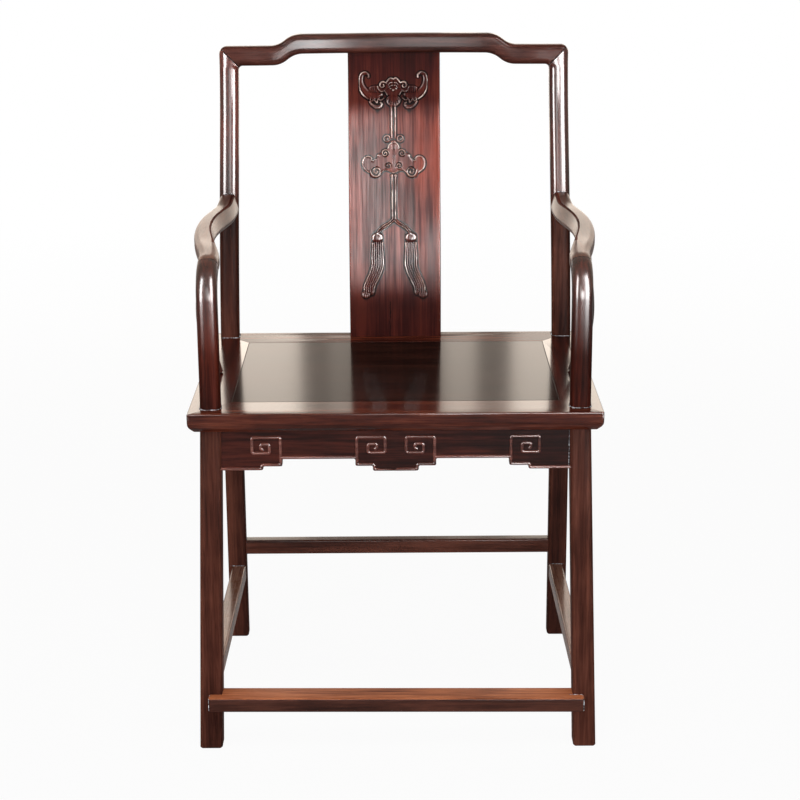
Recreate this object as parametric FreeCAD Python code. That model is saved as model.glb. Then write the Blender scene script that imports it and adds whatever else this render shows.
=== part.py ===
import FreeCAD, Part
import math
import os

Vec = FreeCAD.Vector

# Armchair of dark hardwood with a stepped crest rail. Millimetres, +Z up. While it is being made, X is
# measured from the middle of the chair, Y back from the seat's front edge and Z from the floor. At the end
# every piece moves along Y, so that the origin is on the floor under the middle of the whole chair.

# Seat frame and its floating panel
seat_width = 580.0
seat_depth = 452.0
seat_height = 518.0
rail_thickness = 28.0
front_rail_width = 59.6
back_rail_width = 62.6
side_rail_width = 57.4
edge_recess = 9.5
edge_round = 16.0
back_edge_recess = 3.0
back_edge_round = 4.0
edge_ease = 2.0
frame_corner_round = 3.0
panel_thickness = 13.0
panel_gap = 0.6
tongue_thickness = 6.0
tongue_reach = 7.0
tongue_drop = 5.0
mitre_tongue_thickness = 8.0
mitre_tongue_reach = 12.0
mitre_tongue_stop = 22.0
mitre_tongue_inner_stop = 10.0
mitre_tongue_low = 5.0
batten_width = 30.0
batten_height = 14.0
batten_neck_width = 22.0
batten_key_width = 26.0
batten_key_height = 4.0
batten_spacing = 210.0
batten_tenon = 14.0
batten_tenon_width = 18.0
batten_tenon_height = 8.0

# Front legs, each one timber with the arm post above the seat
foot_width = 33.0
foot_depth = 32.0
leg_width = 30.0
leg_depth = 30.0
leg_round = 4.5
foot_ease = 2.0
front_leg_inset = 15.6
front_foot_splay = 16.6
front_foot_front = 13.5
front_leg_front = 21.5
post_width = 29.6
post_round = 10.0
neck_rise = 154.0
neck_radius = 42.0
neck_angle = 70.0
neck_stations = 6
neck_tenon = 13.0
neck_tenon_length = 14.0

# Back legs, each one timber with the back post
back_leg_width = 30.3
back_leg_depth = 27.0
back_leg_inset = 9.2
back_post_narrowing = 7.2
back_leg_setback = 32.0
back_lean = 54.0
back_post_round = 9.0
back_knee_share = 0.293
back_shoulder_share = 0.902
back_bend_share = 0.98
back_station_shares = [0.0, 0.2, 0.4, 0.58, 0.8, 0.9, 1.0]

# Crest rail
crest_height = 30.2
back_height = 454.6
crest_rise = 17.2
crest_step_inset = 103.1
crest_underside_inset = 107.1
crest_step_run = 21.6
crest_step_round = 37.0
crest_depth = 27.0
crest_bow = 16.0
crest_end_ease = 34.0
crest_bow_ease = 165.0
crest_edge_round = 8.0
crest_corner_round = 12.0
crest_end_length = 38.0
crest_step_stations = 7
crest_bow_stations = 3
mitre_tenon = 11.0
mitre_tenon_cover = 10.0

# Splat
splat_width = 145.0
splat_thickness = 11.0
splat_setback = 4.7
splat_ease = 1.5
splat_tenon_thickness = 6.0
splat_tenon_height = 8.0
splat_tenon_inset = 12.0

# Arms
arm_width = 30.0
arm_height = 26.0
arm_back_rise = 209.0
arm_bow = 22.0
arm_plan_shares = [(0.20, 0.46), (0.46, 1.0), (0.68, 0.72), (0.87, 0.12)]
arm_corner_shares = [(-0.44, -0.50), (0.50, -0.44), (0.24, 0.50), (-0.46, 0.43)]
arm_corner_rounds = [8.0, 7.0, 2.5, 9.0]
arm_neck_share = 0.30
arm_flare_share = 0.14
arm_flare = 7.0
arm_stations = 11
arm_bend_stations = 3
arm_tenon_width = 11.0
arm_tenon_height = 13.0
arm_tenon_length = 12.0

# Side braces under the arms
brace_place = 214.0
brace_top_shift = 10.0
brace_inset = 22.5
brace_bow = 12.5
brace_foot_diameter = 21.0
brace_top_diameter = 14.5
brace_curve_shares = [(0.0, 0.0), (0.21, 0.61), (0.42, 0.99), (0.56, 0.91), (0.76, 0.50), (1.0, 0.0)]
brace_stations = 6
brace_head_length = 4.0
brace_tenon = 7.0
brace_tenon_length = 10.0

# Aprons
apron_thickness = 12.0
apron_setback = 3.0
apron_field_drop = 45.5
apron_step_drop = 56.2
apron_end_drop = 61.8
apron_centre_drop = 63.8
apron_end_inset = 103.0
apron_outer_inset = 130.0
apron_inner_place = 57.0
apron_centre_place = 32.4
apron_small_round = 1.6
apron_end_round = 2.6
bead_width = 3.0
bead_rise = 1.2
fret_width = 40.0
fret_top_drop = 13.5
fret_bar_drop = 36.6
fret_bar_length = 24.4
fret_curl_drop = 23.6
fret_curl_width = 12.4
fret_tip_drop = 30.0
side_apron_drop = 44.0
side_apron_end_drop = 58.0
side_apron_end_length = 34.0
back_apron_setback = 4.0
apron_tenon = 9.0
apron_tenon_thickness = 6.0
apron_tenon_inset = 8.0

# Stretchers: low in front, higher at the sides, highest behind
foot_rail_top = 83.2
foot_rail_height = 20.8
foot_rail_depth = 30.0
foot_rail_front = 1.0
foot_rail_end_inset = 14.0
foot_rail_round = 4.0
foot_rail_end_ease = 1.0
side_stretcher_top = 127.0
side_stretcher_height = 24.0
side_stretcher_width = 22.5
side_stretcher_inset = 1.0
back_stretcher_top = 170.5
back_stretcher_height = 24.0
back_stretcher_depth = 20.0
back_stretcher_setback = 2.0
stretcher_round = 3.0
stretcher_tenon = 12.0
stretcher_tenon_thickness = 8.0
stretcher_tenon_inset = 5.0

# Chords for each round corner where a bar is shaped through sections
corner_chords = 4

# Clearances
joint_gap = 0.15
tenon_end_gap = 0.5
overrun = 5.0

# Places worked out from the sizes above
seat_underside = seat_height - rail_thickness
front_leg_outside = seat_width / 2 - front_leg_inset
front_post_x = front_leg_outside - leg_width / 2
front_post_y = front_leg_front + leg_depth / 2
neck_height = seat_height + neck_rise
back_leg_outside = seat_width / 2 - back_leg_inset
back_leg_front = seat_depth - back_leg_setback
back_post_top_outside = back_leg_outside - back_post_narrowing
crest_end_top = seat_height + back_height
crest_end_underside = crest_end_top - crest_height
crest_end_inside = back_post_top_outside - back_leg_width
crest_step_place = back_post_top_outside - crest_step_inset
crest_underside_place = back_post_top_outside - crest_underside_inset
crest_front = back_leg_front + back_lean
splat_foot = back_leg_front + splat_setback
arm_back_height = seat_height + arm_back_rise
side_apron_edge = seat_underside - side_apron_drop
chair_middle = (crest_front + crest_depth + crest_bow) / 2


def at_level(x, y, z):
    return lambda a, b: Vec(x + a, y + b, z)


def front_view(y):
    return lambda a, b: Vec(a, y, b)


def side_view(x):
    return lambda a, b: Vec(x, a, b)


def across(place, side, up):
    return lambda a, b: place + side * a + up * b


def unit(vector):
    return vector * (1 / vector.Length)


def outline(corners, where, closed=True, chords=0):
    """A wire through corners given as (a, b, radius), each round one a true arc or that many chords."""
    places = [where(a, b) for a, b, _ in corners]
    stretches = []
    for i, (_, _, radius) in enumerate(corners):
        here = places[i]
        if not radius:
            stretches.append([here])
            continue
        back = unit(places[i - 1] - here)
        ahead = unit(places[(i + 1) % len(places)] - here)
        half = back.getAngle(ahead) / 2
        reach = radius / math.tan(half)
        middle = here + unit(back + ahead) * (radius / math.sin(half) - radius)
        stretches.append([here + back * reach, middle, here + ahead * reach])
    following = stretches[1:] + stretches[:1] if closed else stretches[1:]
    edges = []
    for stretch, after in zip(stretches, following):
        if len(stretch) > 1:
            arc = Part.Arc(*stretch).toShape()
            edges += Part.makePolygon(arc.discretize(chords + 1)).Edges if chords else [arc]
        edges.append(Part.LineSegment(stretch[-1], after[0]).toShape())
    return Part.Wire(edges)


def crossing(line, place, direction):
    """Where a line drawn through a place crosses a wire."""
    reach = direction * (seat_width + seat_height)
    ruler = Part.LineSegment(place - reach, place + reach).toShape()
    return line.distToShape(ruler)[1][0][0]


def rectangle(width, height, radius=0, low_a=None, low_b=None):
    """Corners of a rectangle, centred unless its low corner is given."""
    a = -width / 2 if low_a is None else low_a
    b = -height / 2 if low_b is None else low_b
    far_a, far_b = a + width, b + height
    return [(a, b, radius), (far_a, b, radius), (far_a, far_b, radius), (a, far_b, radius)]


def prism(corners, where, along):
    return Part.Face(outline(corners, where)).extrude(along)


def block(x0, x1, y0, y1, z0, z1):
    return Part.makeBox(x1 - x0, y1 - y0, z1 - z0, Vec(x0, y0, z0))


def loft(wires, ruled=False):
    return Part.makeLoft(wires, True, ruled)


def mirrored(shape):
    return shape.mirror(Vec(0, 0, 0), Vec(1, 0, 0))


def joined(shapes):
    return shapes[0].fuse(shapes[1:]).removeSplitter()


def between(low, high, share):
    return low + (high - low) * share


def eased(share):
    share = min(max(share, 0), 1)
    return share * share * (3 - 2 * share)


def curve_through(points, start, end):
    curve = Part.BSplineCurve()
    curve.interpolate(Points=points, InitialTangent=start, FinalTangent=end)
    return curve


# Front legs and arm posts

def front_leg_place(z):
    """Middle and size of the left front leg's section at height z below the seat."""
    share = z / seat_underside
    width = between(foot_width, leg_width, share)
    depth = between(foot_depth, leg_depth, share)
    x = -front_leg_outside - front_foot_splay * (1 - share) + width / 2
    y = between(front_foot_front, front_leg_front, share) + depth / 2
    return x, y, width, depth


def front_leg_section(z, inset=0):
    x, y, width, depth = front_leg_place(z)
    return outline(rectangle(width - 2 * inset, depth - 2 * inset, leg_round - inset), at_level(x, y, z))


def front_post(grow=0):
    size = post_width + 2 * grow
    where = at_level(-front_post_x, front_post_y, seat_underside)
    return prism(rectangle(size, size, post_round + grow), where, Vec(0, 0, neck_height - seat_underside))


def neck_frame(angle):
    """Middle, forward direction and upper direction of the neck's section, angle degrees into its bend."""
    turn = math.radians(angle)
    along = Vec(0, math.sin(turn), math.cos(turn))
    up = Vec(0, -math.cos(turn), math.sin(turn))
    pivot = Vec(-front_post_x, front_post_y + neck_radius, neck_height)
    return pivot + up * neck_radius, along, up


def neck_bend(start, end, stations):
    """The stretch of the bend between two angles, with the post's section at each station."""
    sections = []
    for i in range(stations):
        middle, _, up = neck_frame(between(start, end, i / (stations - 1)))
        where = across(middle, Vec(1, 0, 0), up)
        sections.append(outline(rectangle(post_width, post_width, post_round), where, chords=corner_chords))
    return loft(sections, ruled=True)


def neck_tenon_block(grow=0, extra=0):
    """The tenon that stands out of the neck's cut end into the arm."""
    middle, along, up = neck_frame(neck_angle)
    size = neck_tenon + 2 * grow
    where = across(middle - along * overrun, Vec(1, 0, 0), up)
    return prism(rectangle(size, size), where, along * (neck_tenon_length + overrun + extra))


def front_leg_blank():
    lower = loft([front_leg_section(0, foot_ease), front_leg_section(foot_ease),
                  front_leg_section(seat_underside)], ruled=True)
    return joined([lower, front_post(), neck_bend(0, neck_angle, neck_stations)])


# Back legs and posts

def lean_corners(foot_y, lean, top):
    """Side-view line of the back: upright at the seat, a long bend back, a short bend upright at the top."""
    height = top - seat_height
    knee = seat_height + height * back_knee_share
    shoulder = seat_height + height * back_shoulder_share
    half_turn = math.atan(lean / (shoulder - knee)) / 2
    knee_radius = (knee - seat_height) * back_bend_share / math.tan(half_turn)
    shoulder_radius = (top - shoulder) * back_bend_share / math.tan(half_turn)
    return [(foot_y, seat_height, 0), (foot_y, knee, knee_radius),
            (foot_y + lean, shoulder, shoulder_radius), (foot_y + lean, top, 0)]


def back_post_face(z):
    """Outer side and front of the left back post at height z above the seat."""
    line = outline(lean_corners(back_leg_front, back_lean, crest_end_underside), side_view(0), closed=False)
    share = (z - seat_height) / (crest_end_underside - seat_height)
    outside = between(back_leg_outside, back_post_top_outside, share)
    return -outside, crossing(line, Vec(0, 0, z), Vec(0, 1, 0)).y


def back_section(outside, front, z, radius, inset=0, chords=0):
    where = at_level(outside + back_leg_width / 2, front + back_leg_depth / 2, z)
    corners = rectangle(back_leg_width - 2 * inset, back_leg_depth - 2 * inset, radius)
    return outline(corners, where, chords=chords)


def back_post_foot(grow=0):
    """The upright stretch through the seat frame."""
    x, y = -back_leg_outside + back_leg_width / 2, back_leg_front + back_leg_depth / 2
    where = at_level(x, y, seat_underside)
    corners = rectangle(back_leg_width + 2 * grow, back_leg_depth + 2 * grow, back_post_round + grow)
    return prism(corners, where, Vec(0, 0, rail_thickness))


def back_leg_blank():
    lower = loft([back_section(-back_leg_outside, back_leg_front, z, leg_round - inset, inset)
                  for z, inset in [(0, foot_ease), (foot_ease, 0), (seat_underside, 0)]], ruled=True)
    heights = [between(seat_height, crest_end_underside, share) for share in back_station_shares]
    sections = [back_section(*back_post_face(z), z, back_post_round, chords=corner_chords) for z in heights]
    post = loft(sections, ruled=True)
    outside, front = back_post_face(crest_end_underside)
    corners = rectangle(back_leg_width, back_leg_depth, back_post_round)
    where = at_level(outside + back_leg_width / 2, front + back_leg_depth / 2, crest_end_underside)
    head = prism(corners, where, Vec(0, 0, crest_end_top - crest_end_underside))
    return joined([lower, back_post_foot(), post, head])


# Crest rail

def above_mitre():
    """A block that covers everything above and to the right of the left mitre, in front view."""
    x0, z0 = -back_post_top_outside, crest_end_top
    x1, z1 = -crest_end_inside, crest_end_underside
    length = math.hypot(x1 - x0, z1 - z0)
    dx, dz = (x1 - x0) / length, (z1 - z0) / length
    near, far = seat_width / 2, seat_width * 2
    start = (x0 - dx * near, z0 - dz * near)
    end = (x1 + dx * far, z1 + dz * far)
    corners = [start, end, (end[0] - dz * far, end[1] + dx * far),
               (start[0] - dz * far, start[1] + dx * far)]
    return prism([(x, z, 0) for x, z in corners], front_view(0), Vec(0, seat_width + seat_depth, 0))


def corner_cutter():
    """What rounds the left outer top corner of the back, in front view."""
    x, z, r = -back_post_top_outside, crest_end_top, crest_corner_round
    lean = r * (1 - math.sqrt(0.5))
    arc = Part.Arc(Vec(x, 0, z - r), Vec(x + lean, 0, z - lean), Vec(x + r, 0, z)).toShape()
    rest = [Vec(x + r, 0, z), Vec(x + r, 0, z + r), Vec(x - r, 0, z + r),
            Vec(x - r, 0, z - r), Vec(x, 0, z - r)]
    edges = [arc] + [Part.LineSegment(a, b).toShape() for a, b in zip(rest, rest[1:])]
    return Part.Face(Part.Wire(edges)).extrude(Vec(0, seat_width + seat_depth, 0))


def step_line(place, level):
    """Front-view line of the rail's top or underside over its left half, stepped up towards the middle."""
    start, end = -place - crest_step_run / 2, -place + crest_step_run / 2
    corners = [(-back_post_top_outside, level, 0), (start, level, crest_step_round),
               (end, level + crest_rise, crest_step_round), (0, level + crest_rise, 0)]
    return outline(corners, front_view(0), closed=False)


def plan_line():
    """Plan of the rail's front over its left half: straight over the post, bowed back towards the middle."""
    inside = crest_end_inside - crest_end_ease
    peak = crest_bow / (1 - crest_bow_ease / (2 * inside))
    turn = math.atan(peak / inside)
    end_round, middle_round = crest_end_ease / math.tan(turn / 2), crest_bow_ease / math.tan(turn)
    corners = [(-back_post_top_outside, crest_front, 0), (-inside, crest_front, end_round),
               (0, crest_front + peak, middle_round), (inside, crest_front, 0)]
    return outline(corners, at_level(0, 0, 0), closed=False)


def crest_section(x):
    """Section of the rail at a place x in its left half."""
    up, back = Vec(0, 0, 1), Vec(0, 1, 0)
    top = crossing(step_line(crest_step_place, crest_end_top), Vec(x, 0, 0), up).z
    under = crossing(step_line(crest_underside_place, crest_end_underside), Vec(x, 0, 0), up).z
    front = crossing(plan_line(), Vec(x, 0, 0), back).y
    return rectangle(crest_depth, top - under, crest_edge_round, front, under)


def crest_middle():
    """The rail between its end blocks, as sections that follow the step and the bow."""
    step_reach = crest_step_run / 2 + crest_step_round * crest_rise / crest_step_run / 2
    outer, inner = crest_step_place + step_reach, crest_underside_place - step_reach
    places = [-back_post_top_outside + crest_end_length]
    places += [-between(outer, inner, i / (crest_step_stations - 1)) for i in range(crest_step_stations)]
    places += [-inner * (1 - (i + 1) / crest_bow_stations) for i in range(crest_bow_stations)]
    left = [outline(crest_section(x), side_view(x), chords=corner_chords) for x in places]
    right = [outline(crest_section(x), side_view(-x), chords=corner_chords) for x in reversed(places[:-1])]
    return loft(left + right, ruled=True)


def crest_end():
    """The left end of the rail over the post, up to the mitre, its outer top corner rounded."""
    length = crest_end_length
    section = crest_section(-back_post_top_outside + length)
    bar = prism(section, side_view(-back_post_top_outside), Vec(length, 0, 0))
    return bar.common(above_mitre()).cut(corner_cutter())


def mitre_tenon_block(grow=0, extra=0):
    """The post's tenon that stands up across the mitre into the crest rail."""
    x = -back_post_top_outside + back_leg_width / 2
    y = crest_front + crest_depth / 2
    size = mitre_tenon + 2 * grow
    height = crest_height - mitre_tenon_cover + extra
    return prism(rectangle(size, size), at_level(x, y, crest_end_underside), Vec(0, 0, height))


def splat_lean():
    """How far the splat leans back to stand under the middle of the crest rail."""
    return crest_front + crest_bow + (crest_depth - splat_thickness) / 2 - splat_foot


def splat_tenons(grow=0, extra=0):
    """Tenons of the splat, one down into the back rail and one up into the crest rail."""
    width = splat_width - 2 * splat_tenon_inset + 2 * grow
    thickness = splat_tenon_thickness + 2 * grow
    height = splat_tenon_height + extra
    foot_y = splat_foot + splat_thickness / 2
    foot = prism(rectangle(width, thickness), at_level(0, foot_y, seat_height - height), Vec(0, 0, height))
    top_z = crest_end_underside + crest_rise
    head = prism(rectangle(width, thickness), at_level(0, foot_y + splat_lean(), top_z), Vec(0, 0, height))
    return [foot, head]


def splat_board():
    top = crest_end_underside + crest_rise
    corners = lean_corners(splat_foot, splat_lean(), top)
    corners += lean_corners(splat_foot + splat_thickness, splat_lean(), top)[::-1]
    board = prism(corners, side_view(-splat_width / 2), Vec(splat_width, 0, 0))
    long_edges = [edge for edge in board.Edges
                  if edge.BoundBox.XLength < joint_gap and edge.BoundBox.ZLength > splat_thickness / 2]
    return board.makeChamfer(splat_ease, long_edges)


def splat():
    return joined([splat_board()] + splat_tenons())


def crest_rail():
    left_end = crest_end()
    rail = joined([left_end, crest_middle(), mirrored(left_end)])
    tenon = mitre_tenon_block(joint_gap, tenon_end_gap)
    return rail.cut([tenon, mirrored(tenon), splat_tenons(joint_gap, tenon_end_gap)[1]])


# Seat frame

def rail_profile(width, recess, turn_round):
    """Section of a seat rail: moulded outer edge at 0, grooved inner edge at its width."""
    top, under = seat_height, seat_underside
    groove_top = top - tongue_drop + joint_gap
    groove_low = top - tongue_drop - tongue_thickness - joint_gap
    groove_end = width - tongue_reach - panel_gap
    turn = under + recess
    return [(recess, under, edge_ease), (width, under, 0), (width, groove_low, 0),
            (groove_end, groove_low, 0), (groove_end, groove_top, 0), (width, groove_top, 0),
            (width, top, 0), (0, top, edge_ease), (0, turn, turn_round)]


def seat_plan():
    where = at_level(0, seat_depth / 2, seat_underside)
    return prism(rectangle(seat_width, seat_depth, frame_corner_round), where, Vec(0, 0, rail_thickness))


def opening_half_width():
    return seat_width / 2 - side_rail_width


def front_trapezoid():
    half, opening = seat_width / 2, opening_half_width()
    return [(-half, 0), (half, 0), (opening, front_rail_width), (-opening, front_rail_width)]


def back_trapezoid():
    half, opening = seat_width / 2, opening_half_width()
    return [(half, seat_depth), (-half, seat_depth), (-opening, seat_depth - back_rail_width),
            (opening, seat_depth - back_rail_width)]


def side_trapezoid():
    front, back = front_trapezoid(), back_trapezoid()
    return [front[0], front[3], back[2], back[1]]


def plan_prism(corners, low, height):
    return prism([(x, y, 0) for x, y in corners], at_level(0, 0, low), Vec(0, 0, height))


def mitre_tongue(outer, inner, grow=0):
    """A tongue across the left end of a long rail, between the x and y of its mitre's two ends."""
    dx, dy = inner[0] - outer[0], inner[1] - outer[1]
    length = math.hypot(dx, dy)
    dx, dy = dx / length, dy / length
    start, end = mitre_tongue_stop - grow, length - mitre_tongue_inner_stop + grow
    reach = mitre_tongue_reach + grow
    turn = 1 if dy > 0 else -1
    corners = [(start, -overrun), (end, -overrun), (end, reach), (start, reach)]
    plan = [(outer[0] + dx * a - dy * b * turn, outer[1] + dy * a + dx * b * turn) for a, b in corners]
    low = seat_underside + mitre_tongue_low - grow
    return plan_prism(plan, low, mitre_tongue_thickness + 2 * grow)


def left_tongues(grow=0):
    front, back = front_trapezoid(), back_trapezoid()
    return [mitre_tongue(front[0], front[3], grow), mitre_tongue(back[1], back[2], grow)]


def both(shape):
    return [shape, mirrored(shape)]


def leg_mortises():
    return both(front_post(joint_gap)) + both(back_post_foot(joint_gap))


def seat_front_rail():
    profile = rail_profile(front_rail_width, edge_recess, edge_round)
    bar = prism(profile, lambda a, z: Vec(-seat_width / 2, a, z), Vec(seat_width, 0, 0))
    rail = bar.common(plan_prism(front_trapezoid(), 0, seat_height)).common(seat_plan())
    rail = rail.fuse(both(left_tongues()[0]))
    return rail.cut(leg_mortises() + batten_tenons(joint_gap, tenon_end_gap)).removeSplitter()


def seat_back_rail():
    profile = rail_profile(back_rail_width, back_edge_recess, back_edge_round)
    bar = prism(profile, lambda a, z: Vec(-seat_width / 2, seat_depth - a, z), Vec(seat_width, 0, 0))
    rail = bar.common(plan_prism(back_trapezoid(), 0, seat_height)).common(seat_plan())
    rail = rail.fuse(both(left_tongues()[1]))
    cutters = leg_mortises() + batten_tenons(joint_gap, tenon_end_gap)
    return rail.cut(cutters + [splat_tenons(joint_gap, tenon_end_gap)[0]]).removeSplitter()


def seat_side_rail():
    profile = rail_profile(side_rail_width, edge_recess, edge_round)
    bar = prism(profile, lambda a, z: Vec(-seat_width / 2 + a, 0, z), Vec(0, seat_depth, 0))
    rail = bar.common(plan_prism(side_trapezoid(), 0, seat_height)).common(seat_plan())
    cutters = left_tongues(joint_gap) + leg_mortises() + [brace_tenons(joint_gap, tenon_end_gap)[0]]
    return rail.cut(cutters).removeSplitter()


def seat_panel():
    half = opening_half_width() - panel_gap
    front, back = front_rail_width + panel_gap, seat_depth - back_rail_width - panel_gap
    top = seat_height
    body = block(-half, half, front, back, top - panel_thickness, top)
    reach = tongue_reach
    low = top - tongue_drop - tongue_thickness
    tongue = block(-half - reach, half + reach, front - reach, back + reach, low, low + tongue_thickness)
    return joined([body, tongue]).cut([batten_key(side) for side in (-1, 1)])


def batten_key(side):
    """The dovetailed key of a batten that slides into the underside of the panel."""
    x = side * batten_spacing / 2
    low = seat_height - panel_thickness
    neck, head = batten_neck_width / 2, batten_key_width / 2
    corners = [(x - neck, low, 0), (x + neck, low, 0), (x + head, low + batten_key_height, 0),
               (x - head, low + batten_key_height, 0)]
    start = front_rail_width + panel_gap - tongue_reach
    end = seat_depth - back_rail_width - panel_gap + tongue_reach
    return prism(corners, front_view(start), Vec(0, end - start, 0))


def batten_tenons(grow=0, extra=0):
    """The end tenons of both battens, in the front and back rails."""
    blocks = []
    for side in (-1, 1):
        x = side * batten_spacing / 2
        z = seat_height - panel_thickness - batten_height / 2
        start = front_rail_width - batten_tenon - extra
        end = seat_depth - back_rail_width + batten_tenon + extra
        corners = rectangle(batten_tenon_width + 2 * grow, batten_tenon_height + 2 * grow)
        blocks.append(prism(corners, lambda a, b: Vec(x + a, start, z + b), Vec(0, end - start, 0)))
    return blocks


def panel_batten(side):
    x = side * batten_spacing / 2
    top = seat_height - panel_thickness
    start, end = front_rail_width, seat_depth - back_rail_width
    body = block(x - batten_width / 2, x + batten_width / 2, start, end, top - batten_height, top)
    key = batten_key(side).common(block(-seat_width, seat_width, start, end, 0, seat_height))
    return joined([body, key, batten_tenons()[0 if side < 0 else 1]])


# Arms

def arm_ends():
    """Middle of the left arm's section where it leaves the bend and where it meets the back post."""
    start = Vec(-front_post_x, front_post_y + neck_radius, neck_height + neck_radius)
    outside, front = back_post_face(arm_back_height)
    return start, Vec(outside + back_leg_width / 2, front, arm_back_height)


def arm_middle(y):
    """The arm's middle line at a place y: it swells outwards in plan and climbs evenly to the back post."""
    start, end = arm_ends()
    points = [(start.x, start.y)]
    for along, out in arm_plan_shares:
        points.append((between(start.x, end.x, along) - arm_bow * out, between(start.y, end.y, along)))
    points.append((end.x, end.y + back_post_round))
    plan = curve_through([Vec(a, b, 0) for a, b in points], Vec(0, 1, 0), Vec(0, 1, 0)).toShape()
    x = crossing(plan, Vec(0, y, 0), Vec(1, 0, 0)).x
    return Vec(x, y, between(start.z, end.z, (y - start.y) / (end.y - start.y)))


def arm_section(y):
    """Section of the arm at a place y, square like the post at first and ridged further back."""
    start, end = arm_ends()
    share = (y - start.y) / (end.y - start.y)
    blend = eased(share / arm_neck_share)
    flare = arm_flare * eased((share - 1 + arm_flare_share) / arm_flare_share)
    corners = []
    for i, (a, b, radius) in enumerate(rectangle(post_width, post_width, post_round)):
        a = between(a, arm_width * arm_corner_shares[i][0], blend)
        b = between(b, arm_height * arm_corner_shares[i][1], blend)
        rise = flare if b > 0 else 0
        corners.append((a, b + rise, between(radius, arm_corner_rounds[i], blend)))
    return outline(corners, across(arm_middle(y), Vec(1, 0, 0), Vec(0, 0, 1)), chords=corner_chords)


def arm_blank():
    """The arm before it is fitted to the back post, its last stretch running past the post's front."""
    start, end = arm_ends()
    places = [between(start.y, end.y, i / (arm_stations - 1)) for i in range(arm_stations)]
    places.append(end.y + back_post_round)
    body = loft([arm_section(y) for y in places], ruled=True)
    return joined([neck_bend(neck_angle, 90, arm_bend_stations), body])


def arm_tenon(grow=0, extra=0):
    end = arm_ends()[1]
    where = across(end - Vec(0, overrun, 0), Vec(1, 0, 0), Vec(0, 0, 1))
    corners = rectangle(arm_tenon_width + 2 * grow, arm_tenon_height + 2 * grow)
    return prism(corners, where, Vec(0, overrun + arm_tenon_length + extra, 0))


def arm(blank, back_leg):
    brace_tenon_hole = brace_tenons(joint_gap, tenon_end_gap)[1]
    fitted = blank.cut([back_leg, neck_tenon_block(joint_gap, tenon_end_gap), brace_tenon_hole])
    return joined([fitted, arm_tenon()])


# Side braces

def brace_ends():
    """Middle of the left brace on the side rail and just under the arm."""
    head = arm_middle(brace_place + brace_top_shift)
    head.z -= arm_height / 2 + brace_head_length
    return Vec(brace_inset - seat_width / 2, brace_place, seat_height), head


def brace_curve():
    """Centre line of the left brace, bowed outwards on its way up."""
    foot, head = brace_ends()
    curve = Part.BSplineCurve()
    rise = head - foot
    curve.interpolate([foot + rise * up - Vec(brace_bow * out, 0, 0) for up, out in brace_curve_shares])
    return curve


def brace_section(curve, share):
    place = curve.value(between(curve.FirstParameter, curve.LastParameter, share))
    diameter = between(brace_foot_diameter, brace_top_diameter, share)
    return Part.Wire(Part.makeCircle(diameter / 2, place, Vec(0, 0, 1)))


def brace_tenons(grow=0, extra=0):
    """Square tenons of the brace, down into the side rail and up into the arm."""
    foot, head = brace_ends()
    size = brace_tenon + 2 * grow
    length = brace_tenon_length + extra
    corners = rectangle(size, size)
    return [prism(corners, at_level(foot.x, foot.y, foot.z - length), Vec(0, 0, length)),
            prism(corners, at_level(head.x, head.y, head.z), Vec(0, 0, brace_head_length + length))]


def brace(arm_shape):
    curve = brace_curve()
    body = loft([brace_section(curve, i / (brace_stations - 1)) for i in range(brace_stations)], ruled=True)
    head = Part.makeCylinder(brace_top_diameter / 2, arm_height / 2, brace_ends()[1])
    return joined([body, head.cut(arm_shape)] + brace_tenons())


# Aprons

def front_apron_outline():
    """Front-view corners: deep ends, a small step, the shallow field and the stepped drop in the middle."""
    end, outer = seat_width / 2 - apron_end_inset, seat_width / 2 - apron_outer_inset
    inner, centre = apron_inner_place, apron_centre_place
    drops = [(front_post_x, 0, 0), (front_post_x, apron_end_drop, 0), (end, apron_end_drop, apron_end_round),
             (end, apron_step_drop, apron_small_round), (outer, apron_step_drop, apron_small_round),
             (outer, apron_field_drop, apron_small_round), (inner, apron_field_drop, apron_small_round),
             (inner, apron_step_drop, apron_small_round), (centre, apron_step_drop, apron_small_round),
             (centre, apron_centre_drop, apron_end_round)]
    half = [(x, seat_underside - drop, r) for x, drop, r in drops]
    return half + [(-x, z, r) for x, z, r in reversed(half)]


def bead_bars(corners):
    """Square bars of the bead from corner to corner, given as x and drop below the seat frame."""
    half, y = bead_width / 2, front_apron_y()
    bars = []
    for (x0, drop0), (x1, drop1) in zip(corners, corners[1:]):
        low, high = seat_underside - max(drop0, drop1) - half, seat_underside - min(drop0, drop1) + half
        bars.append(block(min(x0, x1) - half, max(x0, x1) + half, y - bead_rise, y + bead_rise, low, high))
    return bars


def fret(side, turn):
    """Corners of a key fret from the bead at its side, which the spiral leaves towards turn, -1 or 1."""
    far = side + turn * fret_width
    bar_end = far - turn * fret_bar_length
    curl = bar_end + turn * fret_curl_width
    return [(side, fret_top_drop), (far, fret_top_drop), (far, fret_bar_drop), (bar_end, fret_bar_drop),
            (bar_end, fret_curl_drop), (curl, fret_curl_drop), (curl, fret_tip_drop)]


def left_beads():
    """The bead along the left half of the front apron's lower edge, with both of its frets."""
    half = bead_width / 2
    end = apron_end_inset - seat_width / 2 - half
    outer = apron_outer_inset - seat_width / 2 - half
    inner, centre = half - apron_inner_place, half - apron_centre_place
    step, low = apron_step_drop - half, apron_end_drop - half
    lowest, field = apron_centre_drop - half, apron_field_drop - half
    beside_leg = [(-front_post_x, low), (end, low), (end, step), (outer, step)] + fret(outer, -1)
    middle = [(0, lowest), (centre, lowest), (centre, step), (inner, step)] + fret(inner, 1)
    return bead_bars(beside_leg) + bead_bars(middle) + bead_bars([(outer, field), (inner, field)])


def front_apron_y():
    return front_leg_front + apron_setback


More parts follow.
